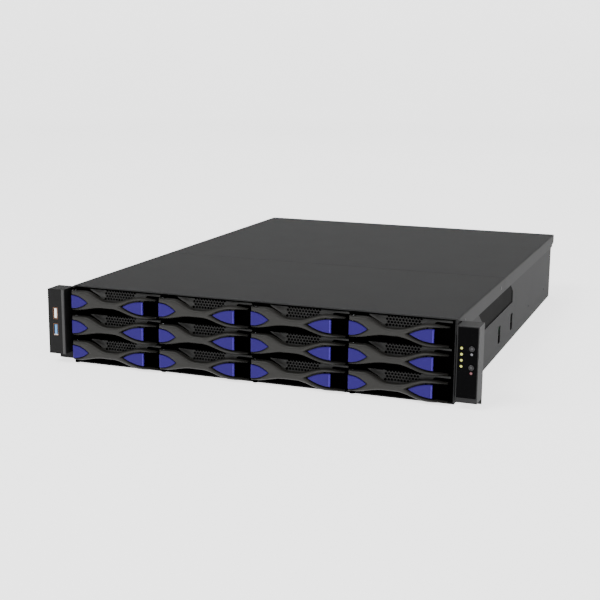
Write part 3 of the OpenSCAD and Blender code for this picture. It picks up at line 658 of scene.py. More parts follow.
def puffed(patches, front, back, round_front, round_back=0.5):
    """A plate along Y whose outline is the patches' own, with its front edges rounded over.
    Gives points and faces."""
    keys, flat, quads = {}, [], []

    def number(point):
        key = (round(point[0], 3), round(point[1], 3))
        if key not in keys:
            keys[key] = len(flat)
            flat.append(point)
        return keys[key]

    for grid in patches:
        ids = [[number(p) for p in column] for column in grid]
        for a, b in zip(ids, ids[1:]):
            for j in range(len(a) - 1):
                quad = [a[j], b[j], b[j + 1], a[j + 1]]
                quad = [v for i, v in enumerate(quad) if v != quad[i - 1]]
                if len(quad) > 2:
                    quads.append(quad)
    uses = {}
    for quad in quads:
        for a, b in zip(quad, quad[1:] + quad[:1]):
            uses.setdefault(frozenset((a, b)), []).append((a, b))
    rim = [pairs[0] for pairs in uses.values() if len(pairs) == 1]
    spots = np.array(flat)
    a, b = spots[[r[0] for r in rim]], spots[[r[1] for r in rim]]
    along = b - a
    t = np.clip(np.einsum("pre,re->pr", spots[:, None] - a[None], along) / (along**2).sum(1), 0, 1)
    away = np.linalg.norm(spots[:, None] - (a + t[..., None] * along), axis=2).min(1)

    def drop(radius):
        inside = np.clip(radius - away, 0, radius)
        return radius - np.sqrt(np.maximum(radius**2 - inside**2, 0))

    n = len(flat)
    points = [(x, front + d, z) for (x, z), d in zip(flat, drop(round_front))]
    points += [(x, back - d, z) for (x, z), d in zip(flat, drop(round_back))]
    faces = quads + [[v + n for v in reversed(quad)] for quad in quads]
    faces += [(a, a + n, b + n, b) for a, b in rim]
    return points, faces


# ---------------------------------------------------------------- pieces: the bays


def lever_shape(bay):
    """The bow-tie handle: a waist that forks to both ends, with the plates behind the blue pieces."""
    s = in_mm(bpy.context.scene.server_bays)
    gap = 0.45
    rows = 8
    left_xs = spread(bay.left, bay.apex, 18)
    waist_xs = spread(bay.apex, bay.fork, 26)
    right_xs = spread(bay.fork, bay.tip, 24)
    over = lambda x: bay.midline(bay.apex) + bay.insert_half(x, gap)
    under = lambda x: bay.midline(bay.apex) - bay.insert_half(x, gap)
    patches = [
        patch(left_xs, over, bay.upper, rows),
        patch(left_xs, bay.lower, under, rows),
        patch(waist_xs, bay.midline, bay.upper, rows),
        patch(waist_xs, bay.lower, bay.midline, rows),
        patch(right_xs, bay.fork_half, bay.upper, rows),
        patch(right_xs, bay.lower, lambda x: -bay.fork_half(x), rows),
    ]
    shape = Shape()
    shape.solid(*puffed(patches, bay.lever_front, bay.lever_back, s.lever_round, 0.6), "lever plastic")
    # floor behind the blue insert, thinned round the hinge pin
    floor = patch(spread(bay.left + 9, bay.apex + 1, 10), lambda x: bay.lower(x) + 1.2,
                  lambda x: bay.upper(x) - 1.2, 6)
    shape.solid(*puffed([floor], bay.lever_front + 3.4, bay.lever_back, 0.3, 0.3), "lever plastic")
    # web across the fork that carries the release latch
    web = patch(spread(bay.fork - 1, 25, 8), lambda x: -bay.fork_half(x) - 0.6,
                lambda x: bay.fork_half(x) + 0.6, 4)
    shape.solid(*puffed([web], bay.lever_back - 1.5, bay.lever_back, 0.2, 0.2), "lever plastic")
    # the blue insert
    insert = patch(spread(bay.left, bay.apex, 16), lambda x: bay.axis - bay.insert_half(x),
                   lambda x: bay.axis + bay.insert_half(x), 12)
    shape.solid(*puffed([insert], bay.lever_front + 0.35, bay.lever_front + 3.3, 0.8, 0.2), "touch blue")
    return shape


def latch_shape(bay):
    """The release latch: a blue wedge with a lip for the finger, a stem, and a hook in the pocket."""
    face, back, stem_x = bay.lever_front, bay.lever_back, bay.latch_apex + 4.4
    shape = Shape()
    wedge = patch(spread(bay.latch_apex, bay.mouth, 18), lambda x: -bay.latch_half(x), bay.latch_half, 12)
    shape.solid(*puffed([wedge], face + 0.7, face + 2.6, 0.7, 0.2), "touch blue")
    # the lip is a lighter blue: painted highlight
    lip = patch(spread(bay.mouth - 1.7, bay.mouth - 0.1, 6), lambda x: -6.5, lambda x: 6.5, 8)
    shape.solid(*puffed([lip], face + 0.3, face + 2.2, 0.55, 0.2), "touch ridge")
    # the stem and the hook are near black: painted shade in the pocket
    dark = "pocket black"
    shape.block((stem_x, face + 2.3, -1.25), (22.6, back + 0.5, 1.25), dark, 0.15)
    shape.block((stem_x - 1, back + 0.35, -3.5), (24.5, back + 1.6, 3.5), dark, 0.25)
    shape.block((31.8, face + 2.3, -3), (33, bay.front + 3, 3), dark, 0.25)
    return shape


def bowl_points(bay):
    """The scooped panel with the vent: a grid of (x, y, z) from its slanted left edge to the right."""
    deepest = in_mm(bpy.context.scene.server_bays).bowl_depth
    high = bay.half_h - 1.0
    right = 50.5
    columns, rows = 46, 16

    def left_edge(z):
        return -21.5 - 15.5 * smooth((z - 2.5) / (bay.half_h - 1.5))

    grid = []
    for i in range(columns + 1):
        line = []
        for j in range(rows + 1):
            share = i / columns
            low = -3.0 + 13.2 * smooth((share - 0.62) / 0.2)
            z = low + (high - low) * j / rows
            x0 = left_edge(z)
            x = x0 + (right - x0) * share
            across = smooth((x - x0) / 7.5) * (1 - 0.6 * smooth((x - 16) / 30))
            upright = smooth((high + 0.8 - z) / 2.6) * (1 + 0.05 * (z - 7))
            line.append((x, bay.front + 0.5 + deepest * across * upright, z))
        grid.append(line)
    return grid


def shell_of(grid, thickness):
    """A surface grid made into a closed sheet, thick along Y."""
    n, m = len(grid), len(grid[0])
    front = [p for line in grid for p in line]
    back = [(x, y + thickness, z) for x, y, z in front]
    at = lambda i, j: i * m + j
    quads = [(at(i, j), at(i + 1, j), at(i + 1, j + 1), at(i, j + 1))
             for i in range(n - 1) for j in range(m - 1)]
    size = n * m
    faces = quads + [tuple(v + size for v in reversed(q)) for q in quads]
    rim = [at(i, 0) for i in range(n)] + [at(n - 1, j) for j in range(1, m)]
    rim += [at(i, m - 1) for i in range(n - 2, -1, -1)] + [at(0, j) for j in range(m - 2, 0, -1)]
    faces += [(a, a + size, b + size, b) for a, b in zip(rim, rim[1:] + rim[:1])]
    return front + back, faces


def bezel_shape(bay):
    """The tray's front: a hollow box with a scooped vent panel, a lower recess, a finger pocket
    and two lugs for the hinge pin."""
    s = in_mm(bpy.context.scene.server_bays)
    w, h, t = bay.half_w, bay.half_h, s.shell
    shape = Shape()
    # the box, the recess, the finger pocket and the lugs are near black: painted shade
    plastic, dark = "bezel plastic", "pocket black"
    # walls of the box
    shape.block((-w, bay.front, h - t), (w, bay.back, h), dark, 0.45)
    shape.block((-w, bay.front, -h), (w, bay.back, -h + t), dark, 0.45)
    shape.block((-w, bay.front + 1.2, -h + 0.2), (-w + t, bay.back, h - 0.2), dark, 0.35)
    shape.block((w - t, bay.front, -h + 0.2), (w, bay.back, h - 0.2), dark, 0.35)
    shape.block((-w + 0.2, bay.back - t, -h + 0.2), (w - 0.2, bay.back - 0.1, h - 0.2), dark, 0.2)
    # scooped vent panel
    panel = Shape()
    panel.solid(*shell_of(bowl_points(bay), 0.8), plastic)
    vent_middle, vent_columns, vent_rows = (0.6, bay.front + 3, 6.9), 11, 4
    vent = pierced(panel.mesh("vent panel"), vent_middle, vent_columns, vent_rows, s.vent_pitch,
                   s.vent_hole, 16, plastic)
    shape.absorb(vent, plastic)
    # recess under the lever, shallow at both ends
    left, right, fade = -46, 29, 20
    recess = []
    for i in range(29):
        x = left + (right - left) * i / 28
        ends = smooth((x - left) / fade) * smooth((right - x) / fade)
        bulge = [math.sin(math.pi * (j + 2.2) / 11) for j in range(9)]
        recess.append([(x, bay.front + 0.8 + 4.4 * ends * b, -h + 0.8 + 11.5 * j / 8)
                       for j, b in enumerate(bulge)])
    shape.solid(*shell_of(recess, t), dark)
    # pocket for the finger, and its step
    shape.block((24.5, bay.front + 0.6, -h + 1), (25.8, bay.back - 1, 3.5), dark, 0.3)
    step = [(30, bay.back - 1.5), (w - 1, bay.back - 1.5), (w - 1, bay.front + 6.5), (44, bay.back - 4)]
    shape.prism(step, 2, -h + 1, h - 1, dark, 0.3)
    # hinge lugs, rounded round the pin
    reach = 3.1
    lug = [(-w + 0.1, bay.front + 0.5)]
    lug += [(bay.pin_x + reach * math.cos(a), bay.pin_y + reach * math.sin(a))
            for a in spread(math.pi, 2 * math.pi, 9)]
    lug += [(bay.pin_x + reach, bay.front + 0.5)]
    shape.prism(lug, 2, h - 2, h - 0.1, dark, 0.35)
    shape.prism(lug, 2, -h + 0.1, -bay.drop - bay.left_drop - 0.35, dark, 0.35)
    shape.rod((bay.pin_x, bay.pin_y), 2, 1.15, -h + 0.3, h - 0.3, "bright steel", 0.1, 20)
    return shape


def carrier_onto(shape, bay, tray_end):
    """Adds the tray's rails and straps, and the drive with its cover and screws."""
    half = bay.half_w - 1.25
    top = bay.half_h - 4.4
    floor = -bay.half_h + 0.4
    end = tray_end - 8
    for side in (-1, 1):
        a, b = sorted((side * half, side * (half - 1.05)))
        shape.block((a, bay.back - 0.5, floor), (b, end, top), "zinc steel", 0.2)
        # pressed ribs along the rail
        shape.row((side * (half - 0.05), bay.back + 18, -2), (0, 22, 0), 6, (0.2, 12, 3.4), "zinc steel")
    for y in (bay.back + 30, end - 14):
        shape.block((-half, y, floor), (half, y + 14, floor + 0.6), "zinc steel", 0.15)
    # a drive of 3.5 inches: 101.6 mm wide and 26.1 mm high
    w, z0 = 50.8, floor + 0.65
    z1 = z0 + 26.1
    y0, y1 = bay.back + 6, tray_end
    shape.block((-w, y0, z0), (w, y1, z1 - 1.2), "drive metal", 0.6)
    shape.block((-w + 1.5, y0 + 1.5, z1 - 1.4), (w - 1.5, y1 - 1.5, z1 - 0.5), "drive metal", 0.4)
    shape.rod((-6, y0 + 62), 2, 40, z1 - 0.7, z1 - 0.1, "bright steel", 0.25, 64)
    shape.rod((-6, y0 + 62), 2, 12, z1 - 0.3, z1, "drive metal", 0.1, 40)
    shape.rod((26, y0 + 116), 2, 15, z1 - 0.7, z1 - 0.15, "bright steel", 0.2, 40)
    spots = [(x, y, z1 - 0.25) for x in (-44, 44) for y in (y0 + 6, y0 + 72, y1 - 8)]
    shape.screws(spots, (0, 0, 1), 4.2, 0.5, "black screw")


# ---------------------------------------------------------------- operators


class Builder(bpy.types.Operator):
    """Shared by the operators that build pieces"""

    bl_options = {"REGISTER", "UNDO"}

    def execute(self, context):
        self.build(context)
        return {"FINISHED"}


class SERVER_OT_covers(Builder):
    """Build the fixed front cover and the sliding rear lid"""

    bl_idname = "server.covers"
    bl_label = "Top covers"

    def build(self, context):
        self.cover("front_cover", "chassis")
        self.cover("rear_lid", "lid", case_end=box_mm("rear_panel")[1].y)

    def section(self, half, y, low, top, bend):
        """The cover's U across the case, at one station along it."""

        def side(inset, radius):
            arc = [(half - bend + radius * math.cos(a), top - bend + radius * math.sin(a))
                   for a in (i * math.pi / 12 for i in range(7))]
            return [(half - inset, low), *arc]

        outer, inner = side(0.0, bend), side(SHEET, max(0.2, bend - SHEET))
        outline = outer + [(-x, z) for x, z in reversed(outer)] + [(-x, z) for x, z in inner] + inner[::-1]
        return [(x, y, z) for x, z in outline]

    def cover(self, node, body, case_end=None):
        """A folded cover. One that has a case_end steps up behind it and closes with a hem."""
        lo, hi = box_mm(node)
        bend = in_mm(bpy.context.scene.server_sheet).bend
        chamfer = 0.25
        ends = [(lo.y, lo.z + chamfer), (lo.y + chamfer, lo.z)]
        shape = Shape()
        if case_end is None:
            ends += [(hi.y - chamfer, lo.z), (hi.y, lo.z + chamfer)]
        else:
            corner, step = 5.0, lo.z + 3.5
            ends += [(case_end, lo.z), (case_end + 0.4, step), (hi.y - corner, step)]
            ends += [(hi.y - corner + corner * math.sin(a), step + corner * (1 - math.cos(a)))
                     for a in spread(0.25, 1.45, 6)]
        shape.sweep([self.section(hi.x, y, low, hi.z, bend) for y, low in ends], "cover paint")
        if case_end is not None:
            hem = box_mm("power_supply_2")[1].z + 1.7
            shape.block((lo.x + 1.5, hi.y - SHEET, hem), (hi.x - 1.5, hi.y, hi.z - 0.4), "cover paint", 0.3)
        shape.settle(node + "_sheet", body, (node,), "cover_paint")


class SERVER_OT_case(Builder):
    """Build the case, the drive cage and its liners"""

    bl_idname = "server.case"
    bl_label = "Case and drive cage"

    def build(self, context):
        tub = softened("chassis_tub", "case shaded paint")
        tub.settle("case_tub", "chassis", ("chassis_tub",), "chassis_paint")

        def of_cage(lo, hi):
            # the outer plates, seen through the side windows, take the dark liner: painted shade
            return "liner paint" if abs(lo[0] + hi[0]) > 400 else "zinc steel"

        def of_plane(lo, hi):
            return "board mask" if hi[0] - lo[0] > 60 else "socket black"

        cage = softened("drive_cage", of_cage, 0.15)
        cage.settle("cage_sheets", "chassis", ("drive_cage",), "cage_steel")
        plane = softened("backplane", of_plane, 0.15)
        plane.settle("backplane_board", "chassis", ("backplane",), "board_green")


class SERVER_OT_ears(Builder):
    """Build the two rack ears with their ports, lamps and buttons"""

    bl_idname = "server.ears"
    bl_label = "Rack ears and controls"

    def build(self, context):
        left = softened("left_ear", "ear black", 0)
        # its front face's long inner edge is rounder and catches the light, and its lighter finish is a
        # painted highlight
        slack = 1e-5
        front = box_mm("left_ear")[0].y * MM + slack
        face = [v for v in left.bm.verts if v.co.y < front]
        inner = max(v.co.x for v in face) - slack
        corner = [e for v in face for e in v.link_edges
                  if all(w.co.x > inner and w.co.y < front for w in e.verts)]
        rounded(left.bm, corner, 2.6, 40.0, 5, left.index("ear edge highlight"))
        rounded(left.bm, left.bm.edges, 0.35, 40.0)
        left.settle("left_ear_housing", "chassis", ("left_ear",), "ear_black")
        right = softened("right_ear", "ear grey", 0.35)
        right.settle("right_ear_housing", "chassis", ("right_ear",), "ear_grey")
        panel = softened("control_panel", "panel black", 0.2)
        panel.settle("control_panel_face", "chassis", ("control_panel",), "panel_black")
        self.ports()
        self.lamps()
        for node in ("power_button", "identify_button"):
            self.button(node)

    def ports(self):
        """Two upright USB sockets: metal shells, tongues and contacts."""
        lo, hi = box_mm("usb_ports")
        middle_x = (lo.x + hi.x) / 2
        shape = Shape()
        tall, wall = 13.2, 0.45
        for z0, tongue in ((hi.z - tall, "usb white"), (lo.z, "usb blue")):
            z1 = z0 + tall
            for x in (lo.x, hi.x - wall):
                shape.block((x, lo.y, z0), (x + wall, hi.y, z1), "port copper", 0.12)
            for z in (z0, z1 - wall):
                shape.block((lo.x + 0.1, lo.y, z), (hi.x - 0.1, hi.y, z + wall), "port copper", 0.12)
            shape.block((lo.x + 0.3, hi.y - 1.6, z0 + 0.3), (hi.x - 0.3, hi.y - 0.6, z1 - 0.3),
                        "socket black")
            shape.block((middle_x - 1.5, lo.y + 0.4, z0 + 1.2), (middle_x + 1.3, hi.y - 1, z1 - 1.2),
                        tongue, 0.2)
            shape.row((middle_x + 1.35, lo.y + 4, z0 + 3.1), (0, 0, 2.3), 4, (0.15, 5, 1), "gold")
        shape.block((lo.x + 0.5, lo.y + 0.3, lo.z + 0.5), (hi.x - 0.5, hi.y - 1.2, lo.z + 1.1),
                    "usb white", 0.15)
        shape.settle("usb_sockets", "chassis", ("usb_ports",), "port_metal")

    def lamps(self):
        """Domed lenses: four green ones in a column, and a white and a pink one by the buttons."""
        lo, hi = box_mm("indicator_lenses")
        radius, pitch, below = 1.3, 6.1, 5.7
        power, identify = ((low + high) / 2 for low, high in map(box_mm, ("power_button", "identify_button")))
        spots = [(lo.x + radius, power.z - pitch * k, "lamp green") for k in range(4)]
        spots += [(power.x, power.z - below, "lamp white"), (power.x, identify.z - below, "lamp pink")]
        dome = [(radius, hi.y), (radius, lo.y + 0.3), (radius * 0.82, lo.y + 0.05), (radius * 0.4, lo.y)]
        shape = Shape()
        for x, z, lens in spots:
            shape.turned((x, z), dome, lens, 20)
        shape.settle("lamp_lenses", "chassis", ("indicator_lenses",), "lens_green")

    def button(self, node):
        """A button with a rim and a dished cap."""
        lo, hi = box_mm(node)
        centre, r, y = ((lo.x + hi.x) / 2, (lo.z + hi.z) / 2), (hi.x - lo.x) / 2, lo.y
        shape = Shape()
        shape.turned(centre, [(r, hi.y), (r, y + 0.35), (r - 0.3, y + 0.12)], "button rim")
        cap = [(r - 0.45, y + 0.2), (r - 0.5, y), (r - 0.9, y + 0.02), (0.4, y + 0.3)]
        shape.turned(centre, cap, "button black")
        shape.settle(node + "_cap", node, (node,), "button_black")


class SERVER_OT_trays(Builder):
    """Build the twelve trays with their bezels and drives"""

    bl_idname = "server.trays"
    bl_label = "Trays"

    def build(self, context):
        bay = Bay()
        shape = bezel_shape(bay)
        carrier_onto(shape, bay, box_mm("tray_1_1")[1].y)
        place_in_bays(shape, "tray", "_front", "bezel_dark")


class SERVER_OT_levers(Builder):
    """Build the twelve levers with their blue inserts"""

    bl_idname = "server.levers"
    bl_label = "Levers"

    def build(self, context):
        bay = Bay()
        place_in_bays(lever_shape(bay), "lever", "_handle", "lever_grey", bay.drop, 38.0)


class SERVER_OT_latches(Builder):
    """Build the twelve release latches"""

    bl_idname = "server.latches"
    bl_label = "Release latches"

    def build(self, context):
        bay = Bay()
        place_in_bays(latch_shape(bay), "release_latch", "_wedge", "touch_blue", bay.drop, 38.0)


def place_in_bays(shape, kind, suffix, slot, drop=0.0, sharp=32.0):
    """Puts a copy of a shape on each bay's own body, so far below the bay's middle."""
    for r in range(1, ROWS + 1):
        for c in range(1, COLS + 1):
            node = f"{kind}_{r}_{c}"
            lo, hi = box_mm(f"tray_{r}_{c}")
            middle = (lo + hi) / 2
            shape.settle(node + suffix, node, (node,), slot, sharp, (middle.x, 0, middle.z - drop))


class SERVER_OT_fans(Builder):
    """Build the fan wall and its three rotors"""

    bl_idname = "server.fans"
    bl_label = "Fans"

    def build(self, context):

        def pick(lo, hi):
            return "zinc steel" if hi[0] - lo[0] > 200 else "fan black"

        wall = softened("fan_wall", pick, 0.3)
        wall.settle("fan_wall_sheet", "chassis", ("fan_wall",), "fan_black")
        for i in (1, 2, 3):
            self.rotor(f"fan_rotor_{i}")

    def rotor(self, node):
        lo, hi = box_mm(node)
        middle = (lo + hi) / 2
        bore, hub, tip = 2.2, 17.0, (hi.x - lo.x) / 2 - 0.4
        blades, thickness, camber = 7, 1.5, 2.4
        shape = Shape()
        rings = [(bore, lo.y), (hub - 2, lo.y), (hub, lo.y + 2), (hub, hi.y), (bore, hi.y)]
        shape.turned((middle.x, middle.z), rings, "fan black", 48)
        # one blade, twisted and swept forward towards its tip
        blade = Shape()
        sections = []
        depth = hi.y - lo.y - 5
        for k in range(7):
            r = hub - 1 + (tip - hub + 1) * k / 6
            lean = math.radians(52 - 14 * k / 6)
            sweep = math.radians(10 * k / 6)
            front, back = [], []
            for j in range(7):
                u = j / 6 - 0.5
                along = u * depth
                swing = sweep + (along / math.tan(lean) + camber * math.cos(math.pi * u)) / r
                half = thickness / 2 / r
                front.append((r * math.sin(swing - half), along, r * math.cos(swing - half)))
                back.append((r * math.sin(swing + half), along, r * math.cos(swing + half)))
            sections.append(front + back[::-1])
        blade.sweep(sections, "fan black")
        wheel = grown("wheel", blade.mesh("blade"), "fan black", Centre=vec(*middle), Count=blades)
        shape.absorb(wheel, "fan black")
        shape.settle(node + "_wheel", node, (node,), "fan_black")


class SERVER_OT_board(Builder):
    """Build the main board with its chips, sockets and heat sinks"""

    bl_idname = "server.board"
    bl_label = "Main board"

    def build(self, context):
        lo, hi = box_mm("motherboard")
        top, thickness = lo.z + 8.4, 1.7
        span, depth = hi.x - lo.x, hi.y - lo.y
        shape = softened("motherboard", "board mask", 0.12)
        # standoffs and heat sinks are metal: they are one solid with the board, so their place tells
        sinks, reach = (0.29, 0.71), 0.15
        metal = shape.index("fin metal")
        for face in shape.bm.faces:
            place = face.calc_center_median() / MM
            in_sink = min(abs((place.x - lo.x) / span - share) for share in sinks) < reach
            if place.z < top - thickness or (place.z > top + 0.02 and in_sink):
                face.material_index = metal
        shape.settle("board_and_sinks", "chassis", ("motherboard",), "board_green")
        parts = Shape()
        # chips and sockets: place as shares of the board, then width, depth and height
        chips = (
            (0.5, 0.75, 38, 38, 3), (0.2, 0.8, 22, 22, 2), (0.5, 0.12, 60, 12, 9), (0.78, 0.85, 18, 26, 2),
            (0.08, 0.12, 12, 40, 10), (0.92, 0.12, 12, 40, 10), (0.35, 0.88, 14, 14, 2),
        )
        for x, y, w, d, h in chips:
            x, y = lo.x + x * span, lo.y + y * depth
            parts.block((x - w / 2, y - d / 2, top), (x + w / 2, y + d / 2, top + h), "chip black", 0.4)
        # two groups of seven capacitors
        for first in (lo.x + 40, lo.x + 160):
            for k in range(7):
                parts.rod((first + 14 * k, lo.y + depth * 0.57), 2, 4, top, top + 9, "port metal", 0.6, 20)
        parts.row((lo.x + 40, lo.y + 22, top + 2), (9, 0, 0), 26, (5, 3, 4), "chip black")
        parts.row((lo.x + 60, hi.y - 40, top + 0.6), (6, 0, 0), 24, (2.4, 1.4, 1.2), "port metal")
        # chips on both faces of the eight memory modules
        first_y = lo.y + depth * 0.36 - 57
        for first in (lo.x + 6, hi.x - 30):
            for k in range(4):
                for x in (first + 8 * k - 0.35, first + 8 * k + 1.65):
                    parts.row((x, first_y, top + 16), (0, 14.2, 0), 9, (0.8, 9.5, 12), "chip black")
        parts.settle("board_parts", "chassis", (), "port_metal")


class SERVER_OT_rear(Builder):
    """Build the rear panel, its ports and the two power supplies"""

    bl_idname = "server.rear"
    bl_label = "Rear panel and power supplies"

    def build(self, context):
        sheet = in_mm(context.scene.server_sheet)
        panel = softened("rear_panel", "zinc steel", 0.15)
        lo, hi = box_mm("rear_panel")
        board_lo, _ = box_mm("motherboard")
        ports_lo, ports_hi = box_mm("rear_ports")
        low, high = ports_hi.z + 8, hi.z - 6
        left, right = board_lo.x + 8, ports_hi.x + 20
        columns = int((right - left) / sheet.vent_pitch)
        rows = int((high - low) / (sheet.vent_pitch * HEX_ROW))
        centre = ((left + right) / 2, hi.y - 0.6, (low + high) / 2)
        vent = pierced(panel.mesh("rear panel"), centre, columns, rows, sheet.vent_pitch, sheet.vent_hole,
                       3, "zinc steel")
        settle("rear_panel_sheet", vent, "chassis", ("rear_panel",))
        # six card slots, each with a screw and two plates
        slots, slot_step = 6, 20.32
        covers = Shape()
        first = hi.x - 12 - slots * slot_step + 6
        spots = [(first + k * slot_step, hi.y + 0.5, hi.z - 5) for k in range(slots)]
        covers.screws(spots, (0, 1, 0), sheet.screw_head, 1.0, "bright steel")
        for x, _, _ in spots:
            for z in (lo.z + 22, lo.z + 62):
                covers.block((x - 3.5, hi.y - 1.5, z - 9), (x + 3.5, hi.y - 0.9, z + 9), "fin metal", 0.2)
        covers.settle("slot_covers", "chassis", (), "chassis_paint")

        def pick(low, high):
            return "port blue" if high[0] - low[0] < 32 and high[1] - low[1] < 16 else "port metal"

        ports = softened("rear_ports", pick, 0.2)
        # the video port's shell, and its three rows of holes drawn as dark squares: painted shade
        x, z, y, pitch = ports_hi.x - 15.5, ports_lo.z + 6.2, ports_hi.y, 2.3
        shell = [(x - 8.3, z + 4.2), (x + 8.3, z + 4.2), (x + 7.2, z - 4.2), (x - 7.2, z - 4.2)]
        ports.prism(shell, 1, y - 0.8, y - 0.1, "port metal", 0.3)
        for k, side in enumerate((-0.6, 0.6, -0.6)):
            start = (x - 2 * pitch + side, y - 0.08, z + pitch * (1 - k))
            ports.row(start, (pitch, 0, 0), 5, (0.9, 0.1, 0.9), "socket black")
        ports.settle("rear_port_shells", "chassis", ("rear_ports",), "port_metal")
        for i in (1, 2):
            self.supply(i, sheet)

    def supply(self, i, sheet):
        """A power supply with a vented grille, an inlet with a shroud, a handle and a thumb latch."""
        node = f"power_supply_{i}"
        lo, hi = box_mm(node)
        rear = box_mm("rear_panel")[1].y

        def pick(low, high):
            if high[0] - low[0] < 3:
                return "gold"
            return "zinc steel" if high[1] - low[1] > 100 else "fan black"

        case = softened(node, pick, 0.3)
        middle_z = (lo.z + hi.z) / 2
        x0, x1, inlet_x = lo.x + 3, lo.x + 43, lo.x + 58
        # a near-black sheet behind the grille: painted shade
        case.block((x0 + 1, rear + 0.02, lo.z + 3), (x1 - 1, rear + 0.3, hi.z - 3), "pocket black")
        plate = Shape()
        plate.block((x0, rear + 0.25, lo.z + 2), (x1, rear + 0.85, hi.z - 2), "zinc steel", 0.1)
        centre = ((x0 + x1) / 2, rear + 0.5, middle_z)
        grille = pierced(plate.mesh("grille"), centre, 7, 7, sheet.vent_pitch, sheet.vent_hole, 3,
                         "zinc steel")
        case.absorb(grille, "zinc steel")
        self.inlet(case, inlet_x, middle_z, rear)
        case.rod((hi.x - 8.5, hi.z - 4), 1, 1.2, rear - 0.5, rear + 0.4, "lamp green", 0.2, 16)
        case.settle(node + "_case", node, (node,), "supply_metal")
        tab = f"supply_latch_{i}"
        latch = softened(tab, "latch green", 0.4)
        latch.settle(tab + "_tab", tab, (tab,), "latch_green")

    def inlet(self, shape, x, z, rear):
        """A mains inlet's shroud: a flange, and a well with two corners cut off."""
        body, flange, well = (23.8, 16.8), (25.4, 20), (22, 14.6)
        steps = ((body, -14.8), (body, 0.02), (flange, 0.02), (flange, 1.0), (well, 1.0), (well, -13.5))
        cut = 4.0
        rings = []
        for (width, height), y in steps:
            w, h = width / 2, height / 2
            outline = [(-w, -h), (w, -h), (w, h - cut), (w - cut, h), (cut - w, h), (-w, h - cut)]
            rings.append([(x + a, rear + y, z + b) for a, b in outline])
        shape.sweep(rings, "socket black")


class SERVER_OT_screws(Builder):
    """Build the case screws"""

    bl_idname = "server.screws"
    bl_label = "Screws"

    def build(self, context):
        sheet = in_mm(context.scene.server_sheet)
        shape = Shape()
        lo, hi = box_mm("front_cover")
        for side in (-1, 1):
            spots = [(side * (hi.x - 0.15), y, hi.z - 8) for y in (lo.y + 30, hi.y - 21.7)]
            shape.screws(spots, (side, 0, 0), sheet.screw_head, 0.5, "black screw")
        inner = box_mm("rear_panel")[1].x
        for side in (-1, 1):
            spots = [(side * (inner - 0.05), 8, z) for z in (16, 70)]
            shape.screws(spots, (-side, 0, 0), 4.4, 0.1, "black screw")
        lo, hi = box_mm("motherboard")
        spots = [(x, y, lo.z + 9.4) for x in (lo.x + 12, hi.x - 12) for y in (lo.y + 12, hi.y - 12)]
        shape.screws(spots, (0, 0, 1), 5.6, 2, "bright steel")
        shape.settle("case_screws", "chassis", ("fasteners",), "screw_black")


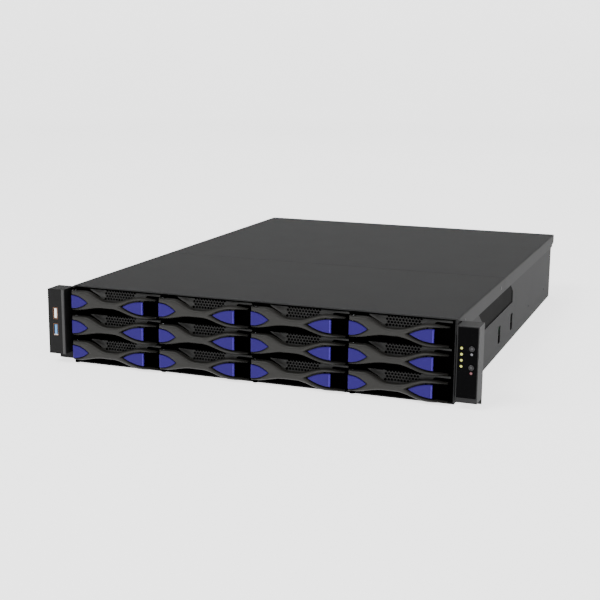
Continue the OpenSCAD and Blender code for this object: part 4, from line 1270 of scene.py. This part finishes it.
class SERVER_OT_stage(Builder):
    """Set up the floor, the lights and the camera"""

    bl_idname = "server.stage"
    bl_label = "Stage"

    def build(self, context):
        s = context.scene.server_stage
        self.camera(context, s)
        self.floor(s)
        lo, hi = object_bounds()
        middle = (lo + hi) / 2
        # name, place and size in metres, power in watts
        for name, place, size, power in (
            ("Key softbox", (-0.9, -1.6, 2.4), 1.3, 67),
            ("Side softbox", (2.6, -0.5, 1.1), 1.8, 32),
            ("Back softbox", (-0.5, 2.6, 2.0), 2.4, 12),
        ):
            self.light(name, place, middle, size, power)
        world = bpy.data.worlds.new("Studio")
        world.use_nodes = True
        sky = world.node_tree.nodes["Background"]
        sky.inputs["Color"].default_value = (1, 1, 1, 1)
        sky.inputs["Strength"].default_value = 0.4
        context.scene.world = world

    def camera(self, context, s):
        yaw, pitch, roll = s.yaw, s.pitch, s.roll
        level = math.cos(pitch)
        ahead = Vector((-math.sin(yaw) * level, math.cos(yaw) * level, -math.sin(pitch)))
        right = Vector((math.cos(yaw), math.sin(yaw), 0))
        up = right.cross(ahead)
        across = right * math.cos(roll) + up * math.sin(roll)
        over = up * math.cos(roll) - right * math.sin(roll)
        data = bpy.data.cameras.new("Camera")
        data.lens = s.lens
        data.sensor_width = 36
        data.clip_end = 100
        eye = bpy.data.objects.new("Camera", data)
        context.scene.collection.objects.link(eye)
        turn = Matrix((across, over, -ahead)).transposed().to_4x4()
        eye.matrix_world = Matrix.Translation(Vector(s.eye)) @ turn
        context.scene.camera = eye

    def floor(self, s):
        """A round floor that curves up into a wall, so that no horizon shows."""
        r, wall = s.floor_radius, 2.0
        profile = [(r, 0.0)]
        profile += [(r + wall * math.sin(a), wall * (1 - math.cos(a))) for a in spread(0.2, 1.45, 7)]
        sides = 96
        points = [(0, 0, 0)]
        for radius, z in profile:
            points += [(x, y, z) for x, y in circle((0, 0), radius, sides)]
        faces = [(0, 1 + i, 1 + (i + 1) % sides) for i in range(sides)]
        for k in range(len(profile) - 1):
            a, b = 1 + k * sides, 1 + (k + 1) * sides
            faces += [(a + i, b + i, b + (i + 1) % sides, a + (i + 1) % sides) for i in range(sides)]
        mesh = bpy.data.meshes.new("floor")
        mesh.from_pydata(points, [], faces)
        mesh.polygons.foreach_set("use_smooth", [True] * len(mesh.polygons))
        mesh.transform(Matrix.Translation((0, 0, CAD_BOX[0].z)))
        mesh.materials.append(finish("pale floor", s.floor, 0.9, grain=3.0, bump=0.0, mottle=0.01,
                                     specular=0.1, patch=400.0, glow=2.3))
        ground = bpy.data.objects.new("floor", mesh)
        bpy.context.scene.collection.objects.link(ground)
        ground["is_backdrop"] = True

    def light(self, name, place, aim, size, power):
        data = bpy.data.lights.new(name, "AREA")
        data.size = size
        data.energy = power
        lamp = bpy.data.objects.new(name, data)
        lamp.location = place
        lamp.rotation_euler = (aim - Vector(place)).to_track_quat("-Z", "Y").to_euler()
        bpy.context.scene.collection.objects.link(lamp)


class SERVER_PT_parts(bpy.types.Panel):
    """Lists the builders"""

    bl_idname = "SERVER_PT_parts"
    bl_label = "Rack Storage Server"
    bl_space_type = "VIEW_3D"
    bl_region_type = "UI"
    bl_category = "Server"

    def draw(self, context):
        for builder in BUILDERS:
            self.layout.operator(builder.bl_idname)


SETTINGS = {
    "server_colours": ServerColours,
    "server_bays": ServerBays,
    "server_sheet": ServerSheet,
    "server_stage": ServerStage,
}
BUILDERS = (
    SERVER_OT_stage,
    SERVER_OT_covers,
    SERVER_OT_case,
    SERVER_OT_ears,
    SERVER_OT_trays,
    SERVER_OT_levers,
    SERVER_OT_latches,
    SERVER_OT_fans,
    SERVER_OT_board,
    SERVER_OT_rear,
    SERVER_OT_screws,
)


def register():
    for cls in (*SETTINGS.values(), *BUILDERS, SERVER_PT_parts):
        bpy.utils.register_class(cls)
    for name, group in SETTINGS.items():
        setattr(bpy.types.Scene, name, bpy.props.PointerProperty(type=group))


def unregister():
    for name in SETTINGS:
        delattr(bpy.types.Scene, name)
    for cls in (SERVER_PT_parts, *reversed(BUILDERS), *reversed(SETTINGS.values())):
        bpy.utils.unregister_class(cls)


def main():
    register()
    for builder in BUILDERS:
        group, verb = builder.bl_idname.split(".")
        getattr(getattr(bpy.ops, group), verb)()


if __name__ == "__main__":
    main()
